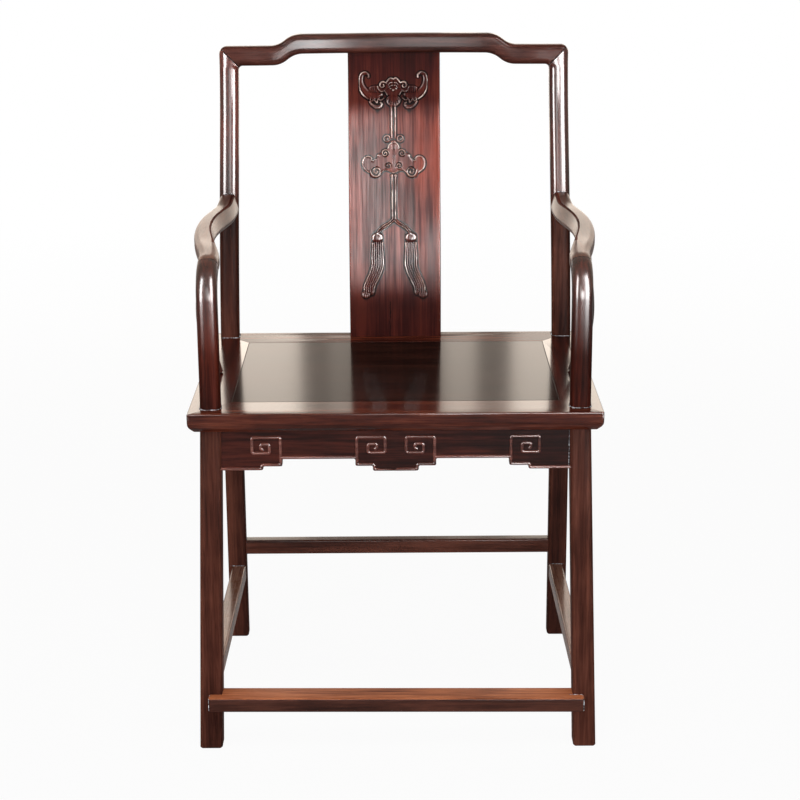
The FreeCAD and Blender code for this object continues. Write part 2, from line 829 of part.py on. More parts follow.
def front_apron_tenons(grow=0, extra=0):
    field_edge = seat_underside - apron_field_drop
    x, y, width, _ = front_leg_place(field_edge)
    inside = -x - width / 2
    reach = inside + apron_tenon + extra
    low = field_edge - grow
    high = seat_underside - apron_tenon_inset + grow
    middle = front_apron_y() + apron_thickness / 2
    half = apron_tenon_thickness / 2 + grow
    return block(-reach, reach, middle - half, middle + half, low, high)


def front_apron(front_leg):
    y = front_apron_y()
    board = prism(front_apron_outline(), front_view(y), Vec(0, apron_thickness, 0))
    raised = prism(front_apron_outline(), front_view(y - bead_rise), Vec(0, bead_rise, 0))
    beads = joined(left_beads()).common(raised)
    board = joined([board] + both(beads))
    return joined([board.cut(both(front_leg)), front_apron_tenons()])


def back_apron_y():
    return back_leg_front + back_leg_depth - back_apron_setback - apron_thickness


def back_apron_tenons(grow=0, extra=0):
    reach = back_leg_outside - back_leg_width + apron_tenon + extra
    middle = back_apron_y() + apron_thickness / 2
    half = apron_tenon_thickness / 2 + grow
    low = side_apron_edge + apron_tenon_inset - grow
    return block(-reach, reach, middle - half, middle + half, low, seat_underside - apron_tenon_inset + grow)


def stepped_board(start, end):
    """Corners of a plain apron with a short deeper end beside each leg."""
    low, deep = side_apron_edge, seat_underside - side_apron_end_drop
    length, r = side_apron_end_length, apron_end_round
    return [(start, seat_underside, 0), (start, deep, 0), (start + length, deep, r), (start + length, low, r),
            (end - length, low, r), (end - length, deep, r), (end, deep, 0), (end, seat_underside, 0)]


def back_apron():
    inside = back_leg_outside - back_leg_width
    board = prism(stepped_board(-inside, inside), front_view(back_apron_y()), Vec(0, apron_thickness, 0))
    return joined([board, back_apron_tenons()])


def side_apron_x():
    return -front_leg_outside + apron_setback


def side_apron_tenons(grow=0, extra=0):
    _, y, _, depth = front_leg_place(side_apron_edge)
    start = y + depth / 2 - apron_tenon - extra
    end = back_leg_front + apron_tenon + extra
    middle = side_apron_x() + apron_thickness / 2
    half = apron_tenon_thickness / 2 + grow
    low = side_apron_edge + apron_tenon_inset - grow
    return block(middle - half, middle + half, start, end, low, seat_underside - apron_tenon_inset + grow)


def side_apron(front_leg):
    _, y, _, depth = front_leg_place(side_apron_edge)
    corners = stepped_board(y + depth / 2 - apron_tenon, back_leg_front)
    board = prism(corners, side_view(side_apron_x()), Vec(apron_thickness, 0, 0))
    return joined([board.cut(front_leg), side_apron_tenons()])


# Stretchers

def foot_rail_tenons(grow=0, extra=0):
    x, y, width, _ = front_leg_place(foot_rail_top - foot_rail_height / 2)
    reach = -x - width / 2 + stretcher_tenon + extra
    half = stretcher_tenon_thickness / 2 + grow
    inset = stretcher_tenon_inset - grow
    low = foot_rail_top - foot_rail_height + inset
    return block(-reach, reach, y - half, y + half, low, foot_rail_top - inset)


def foot_rail(front_leg):
    corners = rectangle(foot_rail_depth, foot_rail_height, foot_rail_round, foot_rail_front,
                        foot_rail_top - foot_rail_height)
    half = seat_width / 2 - foot_rail_end_inset
    bar = prism(corners, side_view(-half), Vec(2 * half, 0, 0))
    ends = [edge for edge in bar.Edges if edge.BoundBox.XLength < joint_gap]
    bar = bar.makeChamfer(foot_rail_end_ease, ends)
    return joined([bar.cut(both(front_leg)), foot_rail_tenons()])


def side_stretcher_ends():
    """Where the left side stretcher's middle line meets the front leg's back and the back leg's front."""
    middle = side_stretcher_top - side_stretcher_height / 2
    x, y, width, depth = front_leg_place(middle)
    half = side_stretcher_width / 2 + side_stretcher_inset
    front = Vec(x + width / 2 - half, y + depth / 2, middle)
    return front, Vec(-back_leg_outside + back_leg_width - half, back_leg_front, middle)


def slanted_bar(width, height, radius, reach):
    """A bar along the left side stretcher's line that goes reach beyond both ends."""
    front, back = side_stretcher_ends()
    along = unit(back - front)
    up = Vec(0, 0, 1)
    where = across(front - along * reach, along.cross(up), up)
    return prism(rectangle(width, height, radius), where, back - front + along * (2 * reach))


def side_stretcher_tenons(grow=0, extra=0):
    height = side_stretcher_height - 2 * stretcher_tenon_inset + 2 * grow
    return slanted_bar(stretcher_tenon_thickness + 2 * grow, height, 0, stretcher_tenon + extra)


def side_stretcher(front_leg, back_leg):
    bar = slanted_bar(side_stretcher_width, side_stretcher_height, stretcher_round, stretcher_tenon)
    return joined([bar.cut([front_leg, back_leg]), side_stretcher_tenons()])


def back_stretcher_bar(depth, height, radius, reach):
    half = back_leg_outside - back_leg_width + reach
    y = back_leg_front + back_stretcher_setback + back_stretcher_depth / 2
    z = back_stretcher_top - back_stretcher_height / 2
    corners = rectangle(depth, height, radius)
    return prism(corners, lambda a, b: Vec(-half, y + a, z + b), Vec(2 * half, 0, 0))


def back_stretcher_tenons(grow=0, extra=0):
    height = back_stretcher_height - 2 * stretcher_tenon_inset + 2 * grow
    return back_stretcher_bar(stretcher_tenon_thickness + 2 * grow, height, 0, stretcher_tenon + extra)


def back_stretcher():
    bar = back_stretcher_bar(back_stretcher_depth, back_stretcher_height, stretcher_round, 0)
    return joined([bar, back_stretcher_tenons()])


# The whole chair

def make_chair():
    front_blank, back_blank, arm_shape = front_leg_blank(), back_leg_blank(), arm_blank()
    fit = (joint_gap, tenon_end_gap)
    front_leg = joined([front_blank, neck_tenon_block()]).cut(
        [front_apron_tenons(*fit), side_apron_tenons(*fit), foot_rail_tenons(*fit),
         side_stretcher_tenons(*fit)])
    back_leg = back_blank.cut([above_mitre(), corner_cutter()]).fuse(mitre_tenon_block()).cut(
        [back_apron_tenons(*fit), side_apron_tenons(*fit), back_stretcher_tenons(*fit),
         side_stretcher_tenons(*fit), arm_tenon(*fit)])
    pieces = {
        "crest_rail": crest_rail(),
        "splat": splat(),
        "seat_front_rail": seat_front_rail(),
        "seat_back_rail": seat_back_rail(),
        "seat_panel": seat_panel(),
        "panel_batten_left": panel_batten(-1),
        "panel_batten_right": panel_batten(1),
        "front_apron": front_apron(front_blank),
        "back_apron": back_apron(),
        "foot_rail": foot_rail(front_blank),
        "back_stretcher": back_stretcher(),
    }
    paired = {
        "front_leg": front_leg,
        "back_leg": back_leg,
        "arm": arm(arm_shape, back_blank),
        "arm_brace": brace(arm_shape),
        "seat_side_rail": seat_side_rail(),
        "side_apron": side_apron(front_blank),
        "side_stretcher": side_stretcher(front_blank, back_blank),
    }
    for name, shape in paired.items():
        pieces[name + "_left"] = shape
        pieces[name + "_right"] = mirrored(shape)
    return pieces


os.makedirs("parts", exist_ok=True)
for name, shape in make_chair().items():
    shape.translate(Vec(0, -chair_middle, 0))
    shape.exportStep("parts/" + name + ".step")
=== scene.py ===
import math

import bmesh
import bpy
import numpy as np
from mathutils import Matrix, Vector


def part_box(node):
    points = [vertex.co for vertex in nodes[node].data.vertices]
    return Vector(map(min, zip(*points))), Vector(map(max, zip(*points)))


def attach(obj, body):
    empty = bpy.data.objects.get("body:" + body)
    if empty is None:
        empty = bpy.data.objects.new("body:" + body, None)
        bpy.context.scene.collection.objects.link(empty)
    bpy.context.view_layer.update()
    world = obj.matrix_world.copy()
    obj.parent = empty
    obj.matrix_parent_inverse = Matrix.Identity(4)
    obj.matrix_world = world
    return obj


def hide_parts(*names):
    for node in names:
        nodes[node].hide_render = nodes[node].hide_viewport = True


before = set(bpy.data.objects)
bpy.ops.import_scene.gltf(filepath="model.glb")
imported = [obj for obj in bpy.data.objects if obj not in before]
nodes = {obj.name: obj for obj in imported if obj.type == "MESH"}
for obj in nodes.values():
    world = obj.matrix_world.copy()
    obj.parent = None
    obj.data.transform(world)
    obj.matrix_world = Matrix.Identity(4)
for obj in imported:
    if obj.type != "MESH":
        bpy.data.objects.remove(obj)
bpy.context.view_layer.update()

# Lengths are millimetres, X from the chair's middle, Y back from the seat's front edge and Z from the floor,
# until a mesh is made: there they turn into the frame's metres, with the origin under the chair's middle.
MM = 0.001
SEAT_FRONT = -258.5

# Seat frame
SEAT_TOP = 518.0
SEAT_UNDERSIDE = 490.0

# Front legs and arm posts
FOOT = (33.0, 32.0)
LEG = (30.0, 30.0)
LEG_ROUND = 4.5
FOOT_EASE = 2.0
FRONT_FOOT_OUTSIDE = 291.0
FRONT_LEG_OUTSIDE = 274.4
FRONT_FOOT_FRONT = 13.5
FRONT_LEG_FRONT = 21.5
POST = 29.6
POST_ROUND = 10.0
POST_X = 259.4
POST_Y = 36.5
NECK_HEIGHT = 672.0
NECK_RADIUS = 42.0
NECK_ANGLE = 70.0
NECK_JOINT = 1.3
LEG_RINGS = (120.0, 300.0)

# Foot rail
FOOT_RAIL_TOP = 86.4
FOOT_RAIL_HEIGHT = 22.0
FOOT_RAIL_FRONT = 1.0
FOOT_RAIL_BACK = 38.0
FOOT_RAIL_ROUND = 3.0
FOOT_RAIL_BACK_ROUND = 1.0
FOOT_RAIL_NOTCH = 1.0
FOOT_RAIL_NOTCH_RUN = 0.2
FOOT_RAIL_ENDS = (-275.6, 272.0)
FOOT_RAIL_DROP = 3.5

# Back legs and posts
BACK_LEG = (30.3, 27.0)
BACK_LEG_OUTSIDE = 280.8
BACK_TOP_OUTSIDE = 273.6
BACK_LEG_FRONT = 420.0
BACK_LEAN = 54.0
BACK_POST_ROUND = 9.0
KNEE_SHARE = 0.293
SHOULDER_SHARE = 0.902
BEND_SHARE = 0.98

# Crest rail
CREST_TOP = 972.6
CREST_UNDERSIDE = 942.4
CREST_RISE = 17.2
CREST_STEP = 170.5
CREST_UNDER_STEP = 166.5
CREST_STEP_RUN = 21.6
CREST_STEP_ROUND = 37.0
CREST_STEP_REACH = 36.0
CREST_STEP_GAP = 4.0
CREST_DEPTH = 27.0
CREST_BOW = 16.0
CREST_END_EASE = 34.0
CREST_BOW_EASE = 165.0
CREST_ROUND = 8.0
CREST_SWELL = 4.0
CREST_CORNER = 12.0
CORNER_SHARES = (0.2, 0.4, 0.6, 0.75, 0.88, 0.97)
CREST_INSIDE = 243.3
CREST_FILLET = 6.5
JOINT = 0.8
JOINT_LINE = 1.2

# Splat
SPLAT_WIDTH = 145.0
SPLAT_THICKNESS = 11.0
SPLAT_FOOT = 424.7
SPLAT_LEAN = 73.3
SPLAT_TOP = 959.6
SPLAT_EASE = 1.5
SPLAT_EDGE_COLUMNS = (0.0, 0.6, 3.0, 8.0)
CRACK_PLACE = -8.4
CRACK_TOP = 575.0

# Arms and braces
ARM_HEIGHT = 26.0
ARM_BACK_HEIGHT = 727.0
ARM_BOW = 22.0
ARM_PLAN = [(0.20, 0.46), (0.46, 1.0), (0.68, 0.72), (0.87, 0.12)]
ARM_SECTIONS = [(0.0, [(-14.8, -14.8, 10.0), (14.8, -14.8, 10.0), (14.8, 14.8, 10.0), (-14.8, 14.8, 10.0)]),
                (0.24, [(-13.4, -13.0, 8.0), (14.6, -12.4, 7.0), (14.6, 13.2, 4.0), (-13.6, 11.8, 9.0)]),
                (0.50, [(-13.0, -13.0, 8.0), (19.2, -11.6, 7.0), (10.2, 13.0, 3.0), (-13.6, 11.2, 9.0)]),
                (0.80, [(-15.2, -14.0, 8.0), (20.6, -13.4, 6.5), (7.0, 14.0, 3.6), (-16.6, 11.6, 8.0)]),
                (1.0, [(-14.8, -13.4, 8.0), (17.0, -12.8, 6.5), (9.0, 13.0, 5.0), (-12.4, 11.6, 6.0)])]
ARM_NECK_SHARE = 0.30
ARM_ARRIS_SHARE = 0.20
ARM_FLARE_SHARE = 0.14
ARM_FLARE = 7.0
ARM_TENON = 6.0
ARRIS_STRIPS = 8
BRACE_PLACE = 214.0
BRACE_SHIFT = 10.0
BRACE_FOOT_X = 267.5
BRACE_BOW = 12.5
BRACE_FOOT_DIAMETER = 21.0
BRACE_TOP_DIAMETER = 14.5
BRACE_HEAD = 4.0
BRACE_TENON = 6.0
BRACE_CURVE = [(0.0, 0.0), (0.21, 0.61), (0.42, 0.99), (0.56, 0.91), (0.76, 0.50), (1.0, 0.0)]

# Old wax in the joints
WAX_GAP = 0.4
WAX_RISE = 0.2
WAX_STEP = 0.0012
WAX_RADII = {"front_post": 1.3, "back_post": 1.3, "side_stretcher": 0.9, "foot_rail": 0.8, "front_apron": 0.8}

# Front apron and its raised bead
APRON_FACE = 24.5
APRON_THICKNESS = 12.0
APRON_HALF = 259.4
APRON_FIELD = 444.5
APRON_STEP = 433.8
APRON_END = 428.2
APRON_CENTRE = 426.2
APRON_PLACES = (187.0, 160.0, 57.0, 32.4)
APRON_ROUND = 2.4
APRON_END_ROUND = 3.0
BEAD_WIDTH = 4.4
BEAD_RISE = 2.2
BEAD_CORNER = 2.6
BEAD_END_REACH = 4.0
FRET_WIDTH = 40.0
FRET_TOP = 476.5
FRET_BAR = 453.4
FRET_BAR_LENGTH = 24.4
FRET_CURL = 466.4
FRET_CURL_WIDTH = 12.4
FRET_TIP = 460.0
FRET_TIP_RUN = 3.5
FRET_TIP_DROP = 1.5


# Lines and sections

FLATS = 5
SWELL = 2.7
SQUARE = ((-1, -1), (1, -1), (1, 1), (-1, 1))


def between(low, high, share):
    return low + (high - low) * share


def eased(share):
    share = min(max(share, 0.0), 1.0)
    return share * share * (3 - 2 * share)


def rounded(corners, closed=True, steps=8, flats=0):
    """Points along straight runs with round corners, given as (a, b, radius); flats more lie on each run."""
    turns = []
    for i, (a, b, radius) in enumerate(corners):
        here = np.array([a, b], float)
        if not radius:
            turns.append([here])
            continue
        back = np.array(corners[i - 1][:2]) - here
        ahead = np.array(corners[(i + 1) % len(corners)][:2]) - here
        back, ahead = back / np.linalg.norm(back), ahead / np.linalg.norm(ahead)
        half = math.acos(min(max(float(back @ ahead), -1.0), 1.0)) / 2
        middle = here + (back + ahead) / np.linalg.norm(back + ahead) * radius / math.sin(half)
        first = here + back * radius / math.tan(half) - middle
        last = here + ahead * radius / math.tan(half) - middle
        start = math.atan2(first[1], first[0])
        sweep = (math.atan2(last[1], last[0]) - start + math.pi) % (2 * math.pi) - math.pi
        angles = start + sweep * np.linspace(0, 1, steps + 1)
        turns.append([middle + radius * np.array([math.cos(angle), math.sin(angle)]) for angle in angles])
    points = []
    for i, turn in enumerate(turns):
        points += turn
        if flats and (closed or i + 1 < len(turns)):
            ahead = turns[(i + 1) % len(turns)][0]
            points += [between(turn[-1], ahead, k / (flats + 1)) for k in range(1, flats + 1)]
    return np.array(points)


def corner_drop(radius, past):
    """How far a quarter round has dropped at a distance past its start."""
    return radius - math.sqrt(radius ** 2 - past ** 2)


def box_section(width, depth, radius, a, b, crowned=None):
    """A box with round corners, from its low corner a, b; a power makes its four sides swell, a low one more."""
    points = rounded([(a, b, radius), (a + width, b, radius), (a + width, b + depth, radius),
                      (a, b + depth, radius)], flats=FLATS)
    if crowned:
        middle, half = np.array([a + width / 2, b + depth / 2]), np.array([width / 2, depth / 2])
        shares = np.abs((points - middle) / half)
        points = middle + (points - middle) / (shares ** crowned).sum(1, keepdims=True) ** (1 / crowned)
    return points


def post_front():
    """Depth of the back posts' fronts as a function of the height."""
    return lean_line(BACK_LEG_FRONT, BACK_LEAN, CREST_UNDERSIDE)


def post_section():
    """An arm post's section round its middle."""
    return box_section(POST, POST, POST_ROUND, -POST / 2, -POST / 2, SWELL)


def spline(knots, values, start=None, end=None):
    """A smooth curve through values at knots, as a function; its end slopes are free unless given."""
    knots, values = np.array(knots, float), np.array(values, float)
    count = len(knots)
    gaps = np.diff(knots)
    rises = np.diff(values) / gaps
    system, right = np.zeros((count, count)), np.zeros(count)
    for i in range(1, count - 1):
        system[i, i - 1:i + 2] = gaps[i], 2 * (gaps[i - 1] + gaps[i]), gaps[i - 1]
        right[i] = 3 * (rises[i - 1] * gaps[i] + rises[i] * gaps[i - 1])
    system[0, :2], right[0] = (2, 1), 3 * rises[0]
    system[-1, -2:], right[-1] = (1, 2), 3 * rises[-1]
    if start is not None:
        system[0, :2], right[0] = (1, 0), start
    if end is not None:
        system[-1, -2:], right[-1] = (0, 1), end
    slopes = np.linalg.solve(system, right)

    def curve(x):
        i = min(max(int(np.searchsorted(knots, x)) - 1, 0), count - 2)
        t = (x - knots[i]) / gaps[i]
        h = t * t * (3 - 2 * t)
        return (values[i] * (1 - h) + values[i + 1] * h
                + gaps[i] * (slopes[i] * t * (1 - t) ** 2 - slopes[i + 1] * t * t * (1 - t)))
    return curve


def lean_line(foot, lean, top):
    """Depth of the back at a height: upright at the seat, a long bend back, upright again at the top."""
    height = top - SEAT_TOP
    knee, shoulder = SEAT_TOP + height * KNEE_SHARE, SEAT_TOP + height * SHOULDER_SHARE
    turn = math.tan(math.atan(lean / (shoulder - knee)) / 2)
    line = rounded([(foot, SEAT_TOP, 0), (foot, knee, (knee - SEAT_TOP) * BEND_SHARE / turn),
                    (foot + lean, shoulder, (top - shoulder) * BEND_SHARE / turn), (foot + lean, top, 0)],
                   closed=False, steps=40)
    return lambda z: float(np.interp(z, line[:, 1], line[:, 0]))


# Meshes

SMOOTH = 35
TUBE_SMOOTH = 60
CARVING_SMOOTH = 50
MERGED = 1e-5
FLAT_ANGLE = 0.6
BOARD_EASE = 0.8
PANEL_EASE = 0.5
ARRIS_ANGLE = 40


def metres(points):
    return (np.array(points, float) + (0, SEAT_FRONT, 0)) * MM


def in_scene(name, data):
    """A new object with this data, in the scene."""
    item = bpy.data.objects.new(name, data)
    bpy.context.scene.collection.objects.link(item)
    return item


def finished(name, mesh, smooth=SMOOTH):
    if smooth is not None:
        mesh.shade_smooth()
        mesh.set_sharp_from_angle(angle=math.radians(smooth))
    mesh.update()
    return in_scene(name, mesh)


def skin(name, rings, smooth=SMOOTH):
    """A closed piece whose surface runs through rings of points, with flat ends."""
    count = len(rings[0])
    faces = [tuple(reversed(range(count))), tuple(range((len(rings) - 1) * count, len(rings) * count))]
    for r in range(len(rings) - 1):
        low, high = r * count, (r + 1) * count
        faces += [(low + i, low + (i + 1) % count, high + (i + 1) % count, high + i) for i in range(count)]
    mesh = bpy.data.meshes.new(name)
    mesh.from_pydata([tuple(point) for point in metres(np.concatenate(rings))], [], faces)
    face_outwards(mesh, smooth)
    return finished(name, mesh, smooth)


def face_outwards(mesh, smooth):
    shell = bmesh.new()
    shell.from_mesh(mesh)
    bmesh.ops.recalc_face_normals(shell, faces=shell.faces)
    shell.to_mesh(mesh)
    shell.free()
    mesh.shade_smooth()
    mesh.set_sharp_from_angle(angle=math.radians(smooth))


def trim(piece, place, outwards):
    """Cuts away what lies past a plane and closes the cut, its rim eased in the piece's second finish."""
    shell = bmesh.new()
    shell.from_mesh(piece.data)
    whole = shell.verts[:] + shell.edges[:] + shell.faces[:]
    cut = bmesh.ops.bisect_plane(shell, geom=whole, dist=1e-7, plane_co=Vector(metres([place])[0]),
                                 plane_no=Vector(outwards), clear_outer=True)
    rim = [item for item in cut["geom_cut"] if isinstance(item, bmesh.types.BMEdge)]
    bmesh.ops.holes_fill(shell, edges=rim)
    bmesh.ops.bevel(shell, geom=rim, offset=JOINT * MM, segments=1, profile=0.5, affect="EDGES", material=1)
    shell.to_mesh(piece.data)
    shell.free()
    face_outwards(piece.data, SMOOTH)


def applied(piece, smooth):
    """The piece with its modifiers worked into a plain mesh; without smooth its shading stays as they leave it."""
    bpy.context.view_layer.update()
    evaluated = piece.evaluated_get(bpy.context.evaluated_depsgraph_get())
    mesh = bpy.data.meshes.new_from_object(evaluated)
    name = piece.name
    bpy.data.objects.remove(piece)
    mesh.name = name
    return finished(name, mesh, smooth)


def eased_copy(node, finish, worn, width):
    """A clean copy of a CAD solid with softened arrises, whose narrow faces take the worn finish."""
    shell = bmesh.new()
    shell.from_mesh(nodes[node].data)
    bmesh.ops.remove_doubles(shell, verts=shell.verts, dist=MERGED)
    bmesh.ops.dissolve_limit(shell, angle_limit=math.radians(FLAT_ANGLE), verts=shell.verts, edges=shell.edges)
    mesh = bpy.data.meshes.new(node + "_shown")
    shell.to_mesh(mesh)
    shell.free()
    mesh.materials.append(finish)
    mesh.materials.append(worn)
    piece = finished(node + "_shown", mesh)
    bevel = piece.modifiers.new("ease", "BEVEL")
    bevel.width = width * MM
    bevel.segments = 2
    bevel.limit_method = "ANGLE"
    bevel.angle_limit = math.radians(ARRIS_ANGLE)
    bevel.material = 1
    bevel.harden_normals = True
    return applied(piece, None)


def mirrored(piece, name):
    mesh = piece.data.copy()
    mesh.name = name
    mesh.transform(Matrix.Scale(-1, 4, (1, 0, 0)))
    mesh.flip_normals()
    mesh.update()
    return in_scene(name, mesh)


# Pieces of the frame

def crest_rail():
    """The stepped and bowed top rail, mitred to the posts, with its outer top corners rounded."""
    half_run = CREST_STEP_RUN / 2

    def step_line(place, level):
        line = rounded([(0, level + CREST_RISE, 0), (place - half_run, level + CREST_RISE, CREST_STEP_ROUND),
                        (place + half_run, level, CREST_STEP_ROUND), (BACK_TOP_OUTSIDE, level, 0)],
                       closed=False, steps=16)
        return lambda x: float(np.interp(abs(x), line[:, 0], line[:, 1]))

    top, under = step_line(CREST_STEP, CREST_TOP), step_line(CREST_UNDER_STEP, CREST_UNDERSIDE)
    inside = CREST_INSIDE - CREST_END_EASE
    peak = CREST_BOW / (1 - CREST_BOW_EASE / (2 * inside))
    turn = math.atan(peak / inside)
    plan = rounded([(-inside, 0, 0), (0, peak, CREST_BOW_EASE / math.tan(turn)),
                    (inside, 0, CREST_END_EASE / math.tan(turn / 2)), (BACK_TOP_OUTSIDE, 0, 0)],
                   closed=False, steps=24)
    ease, fillet = BACK_TOP_OUTSIDE - CREST_CORNER, CREST_INSIDE - CREST_FILLET
    near, far = CREST_STEP - CREST_STEP_REACH, CREST_STEP + CREST_STEP_REACH
    places = [*np.linspace(0, near - CREST_STEP_GAP, 14), *np.linspace(near, far, 28),
              *np.linspace(far + CREST_STEP_GAP, fillet, 5), *np.linspace(fillet, CREST_INSIDE, 8)[1:],
              *np.linspace(CREST_INSIDE, ease, 3)[1:], *(ease + CREST_CORNER * share for share in CORNER_SHARES)]
    rings = []
    for x in [-x for x in reversed(places[1:])] + places:
        high, low = top(x), under(x)
        if abs(x) > ease:
            high -= corner_drop(CREST_CORNER, abs(x) - ease)
        if fillet < abs(x) <= CREST_INSIDE:
            low -= corner_drop(CREST_FILLET, abs(x) - fillet)
        front = BACK_LEG_FRONT + BACK_LEAN + float(np.interp(abs(x), plan[:, 0], plan[:, 1]))
        section = box_section(CREST_DEPTH, high - low, CREST_ROUND, front, low, CREST_SWELL)
        rings.append([(x, y, z) for y, z in section])
    rail = skin("crest_rail_shown", rings)
    for side in (-1, 1):
        trim(rail, (side * BACK_TOP_OUTSIDE, 0, CREST_TOP), (side * 1.0, 0, -1.0))
    return rail


def back_leg():
    """The left back leg with its post, up to the mitre under the crest rail."""
    front = post_front()
    width, depth = BACK_LEG
    fillet, corner = CREST_UNDERSIDE - CREST_FILLET, CREST_TOP - CREST_CORNER
    heights = [0, FOOT_EASE, *LEG_RINGS, SEAT_UNDERSIDE, SEAT_UNDERSIDE + 1, *np.linspace(SEAT_TOP, fillet, 56),
               *np.linspace(fillet, CREST_UNDERSIDE, 8)[1:], corner,
               *(corner + CREST_CORNER * share for share in CORNER_SHARES)]
    rings = []
    for z in heights:
        rise = max(z - SEAT_TOP, 0) / (CREST_UNDERSIDE - SEAT_TOP)
        outside = between(BACK_LEG_OUTSIDE, BACK_TOP_OUTSIDE, min(rise, 1))
        inside = outside - width
        if z > corner:
            outside -= corner_drop(CREST_CORNER, z - corner)
        if z > fillet:
            inside -= corner_drop(CREST_FILLET, min(z - fillet, CREST_FILLET))
        inset = FOOT_EASE if z == 0 else 0
        above = z > SEAT_UNDERSIDE
        radius = BACK_POST_ROUND if above else LEG_ROUND
        section = box_section(outside - inside - 2 * inset, depth - 2 * inset, radius - inset, inset - outside,
                              front(max(z, SEAT_TOP)) + inset, SWELL if above else None)
        rings.append([(a, b, z) for a, b in section])
    leg = skin("back_leg_left_shown", rings)
    trim(leg, (-BACK_TOP_OUTSIDE, 0, CREST_TOP), (1.0, 0, 1.0))
    return leg


def front_leg():
    """The left front leg with its arm post and the first part of the bend into the arm."""
    rings = []
    for z in (0, FOOT_EASE, *LEG_RINGS, SEAT_UNDERSIDE):
        share = z / SEAT_UNDERSIDE
        width, depth = between(FOOT[0], LEG[0], share), between(FOOT[1], LEG[1], share)
        inset = FOOT_EASE if z == 0 else 0
        x = -between(FRONT_FOOT_OUTSIDE, FRONT_LEG_OUTSIDE, share) + inset
        y = between(FRONT_FOOT_FRONT, FRONT_LEG_FRONT, share) + inset
        section = box_section(width - 2 * inset, depth - 2 * inset, LEG_ROUND - inset, x, 2 * inset - y - depth)
        rings.append([(a, -b, z) for a, b in section])
    for z in np.linspace(SEAT_UNDERSIDE + 1, NECK_HEIGHT, 14):
        rings.append([(a - POST_X, POST_Y - b, z) for a, b in post_section()])
    for angle in np.linspace(0, NECK_ANGLE, 24)[1:]:
        rings.append(neck_ring(angle))
    return skin("front_leg_left_shown", rings)


def neck_ring(angle):
    """The post's section at an angle into its bend, in degrees."""
    turn = math.radians(angle)
    up = np.array([0, -math.cos(turn), math.sin(turn)])
    middle = np.array([-POST_X, POST_Y + NECK_RADIUS, NECK_HEIGHT]) + up * NECK_RADIUS
    return [middle + (a, 0, 0) + up * b for a, b in post_section()]


def arm_ends():
    """The ends of the arm's middle line: over the post's bend, and on the back post's front."""
    start = np.array([-POST_X, POST_Y + NECK_RADIUS, NECK_HEIGHT + NECK_RADIUS])
    rise = (ARM_BACK_HEIGHT - SEAT_TOP) / (CREST_UNDERSIDE - SEAT_TOP)
    outside = between(BACK_LEG_OUTSIDE, BACK_TOP_OUTSIDE, rise)
    return start, np.array([-outside + BACK_LEG[0] / 2, post_front()(ARM_BACK_HEIGHT), ARM_BACK_HEIGHT])


def arm_line():
    """The arm's middle as a function of y: it swells outwards in plan and climbs evenly to the post."""
    start, end = arm_ends()
    places = [(start[1], start[0])]
    places += [(between(start[1], end[1], along), between(start[0], end[0], along) - ARM_BOW * out)
               for along, out in ARM_PLAN]
    places.append((end[1] + BACK_POST_ROUND, end[0]))
    plan = spline([y for y, _ in places], [x for _, x in places], 0, 0)
    return lambda y: np.array([plan(y), y, between(start[2], end[2], (y - start[1]) / (end[1] - start[1]))])


def arm_ring(line, y):
    """The arm's section at a depth, which turns from the post's round one into its own."""
    start, end = arm_ends()
    share = (y - start[1]) / (end[1] - start[1])
    flare = ARM_FLARE * eased((share - 1 + ARM_FLARE_SHARE) / ARM_FLARE_SHARE)
    stations = [station for station, _ in ARM_SECTIONS]
    corners = []
    for i in range(4):
        a, b, radius = (spline(stations, [section[i][k] for _, section in ARM_SECTIONS], 0, 0)(min(share, 1))
                        for k in range(3))
        corners.append((a, b + (flare if b > 0 else 0), radius))
    middle = line(y)
    section = rounded(corners, flats=FLATS)
    return [middle + (a, 0, b) for a, b in between(post_section(), section, eased(share / ARM_NECK_SHARE))]


def arm():
    """The left arm from the bend of its post to the back post, which it runs into."""
    start, end = arm_ends()
    line = arm_line()
    rings = [neck_ring(angle) for angle in (NECK_ANGLE, *np.linspace(NECK_ANGLE + NECK_JOINT, 90, 8))]
    places = np.linspace(start[1], end[1] + ARM_TENON, 72)[1:]
    worn_from = between(start[1], end[1], ARM_ARRIS_SHARE)
    first = len(rings) + int(np.searchsorted(places, worn_from))
    rings += [arm_ring(line, y) for y in places]
    piece = skin("arm_left_shown", rings)
    count = len(rings[0])
    strips = np.array(piece.data.polygons)[2:].reshape(-1, count)
    for face in strips[0]:
        face.material_index = 2
    for face in strips[first:, count // 2:count // 2 + ARRIS_STRIPS].flat:
        face.material_index = 1
    return piece


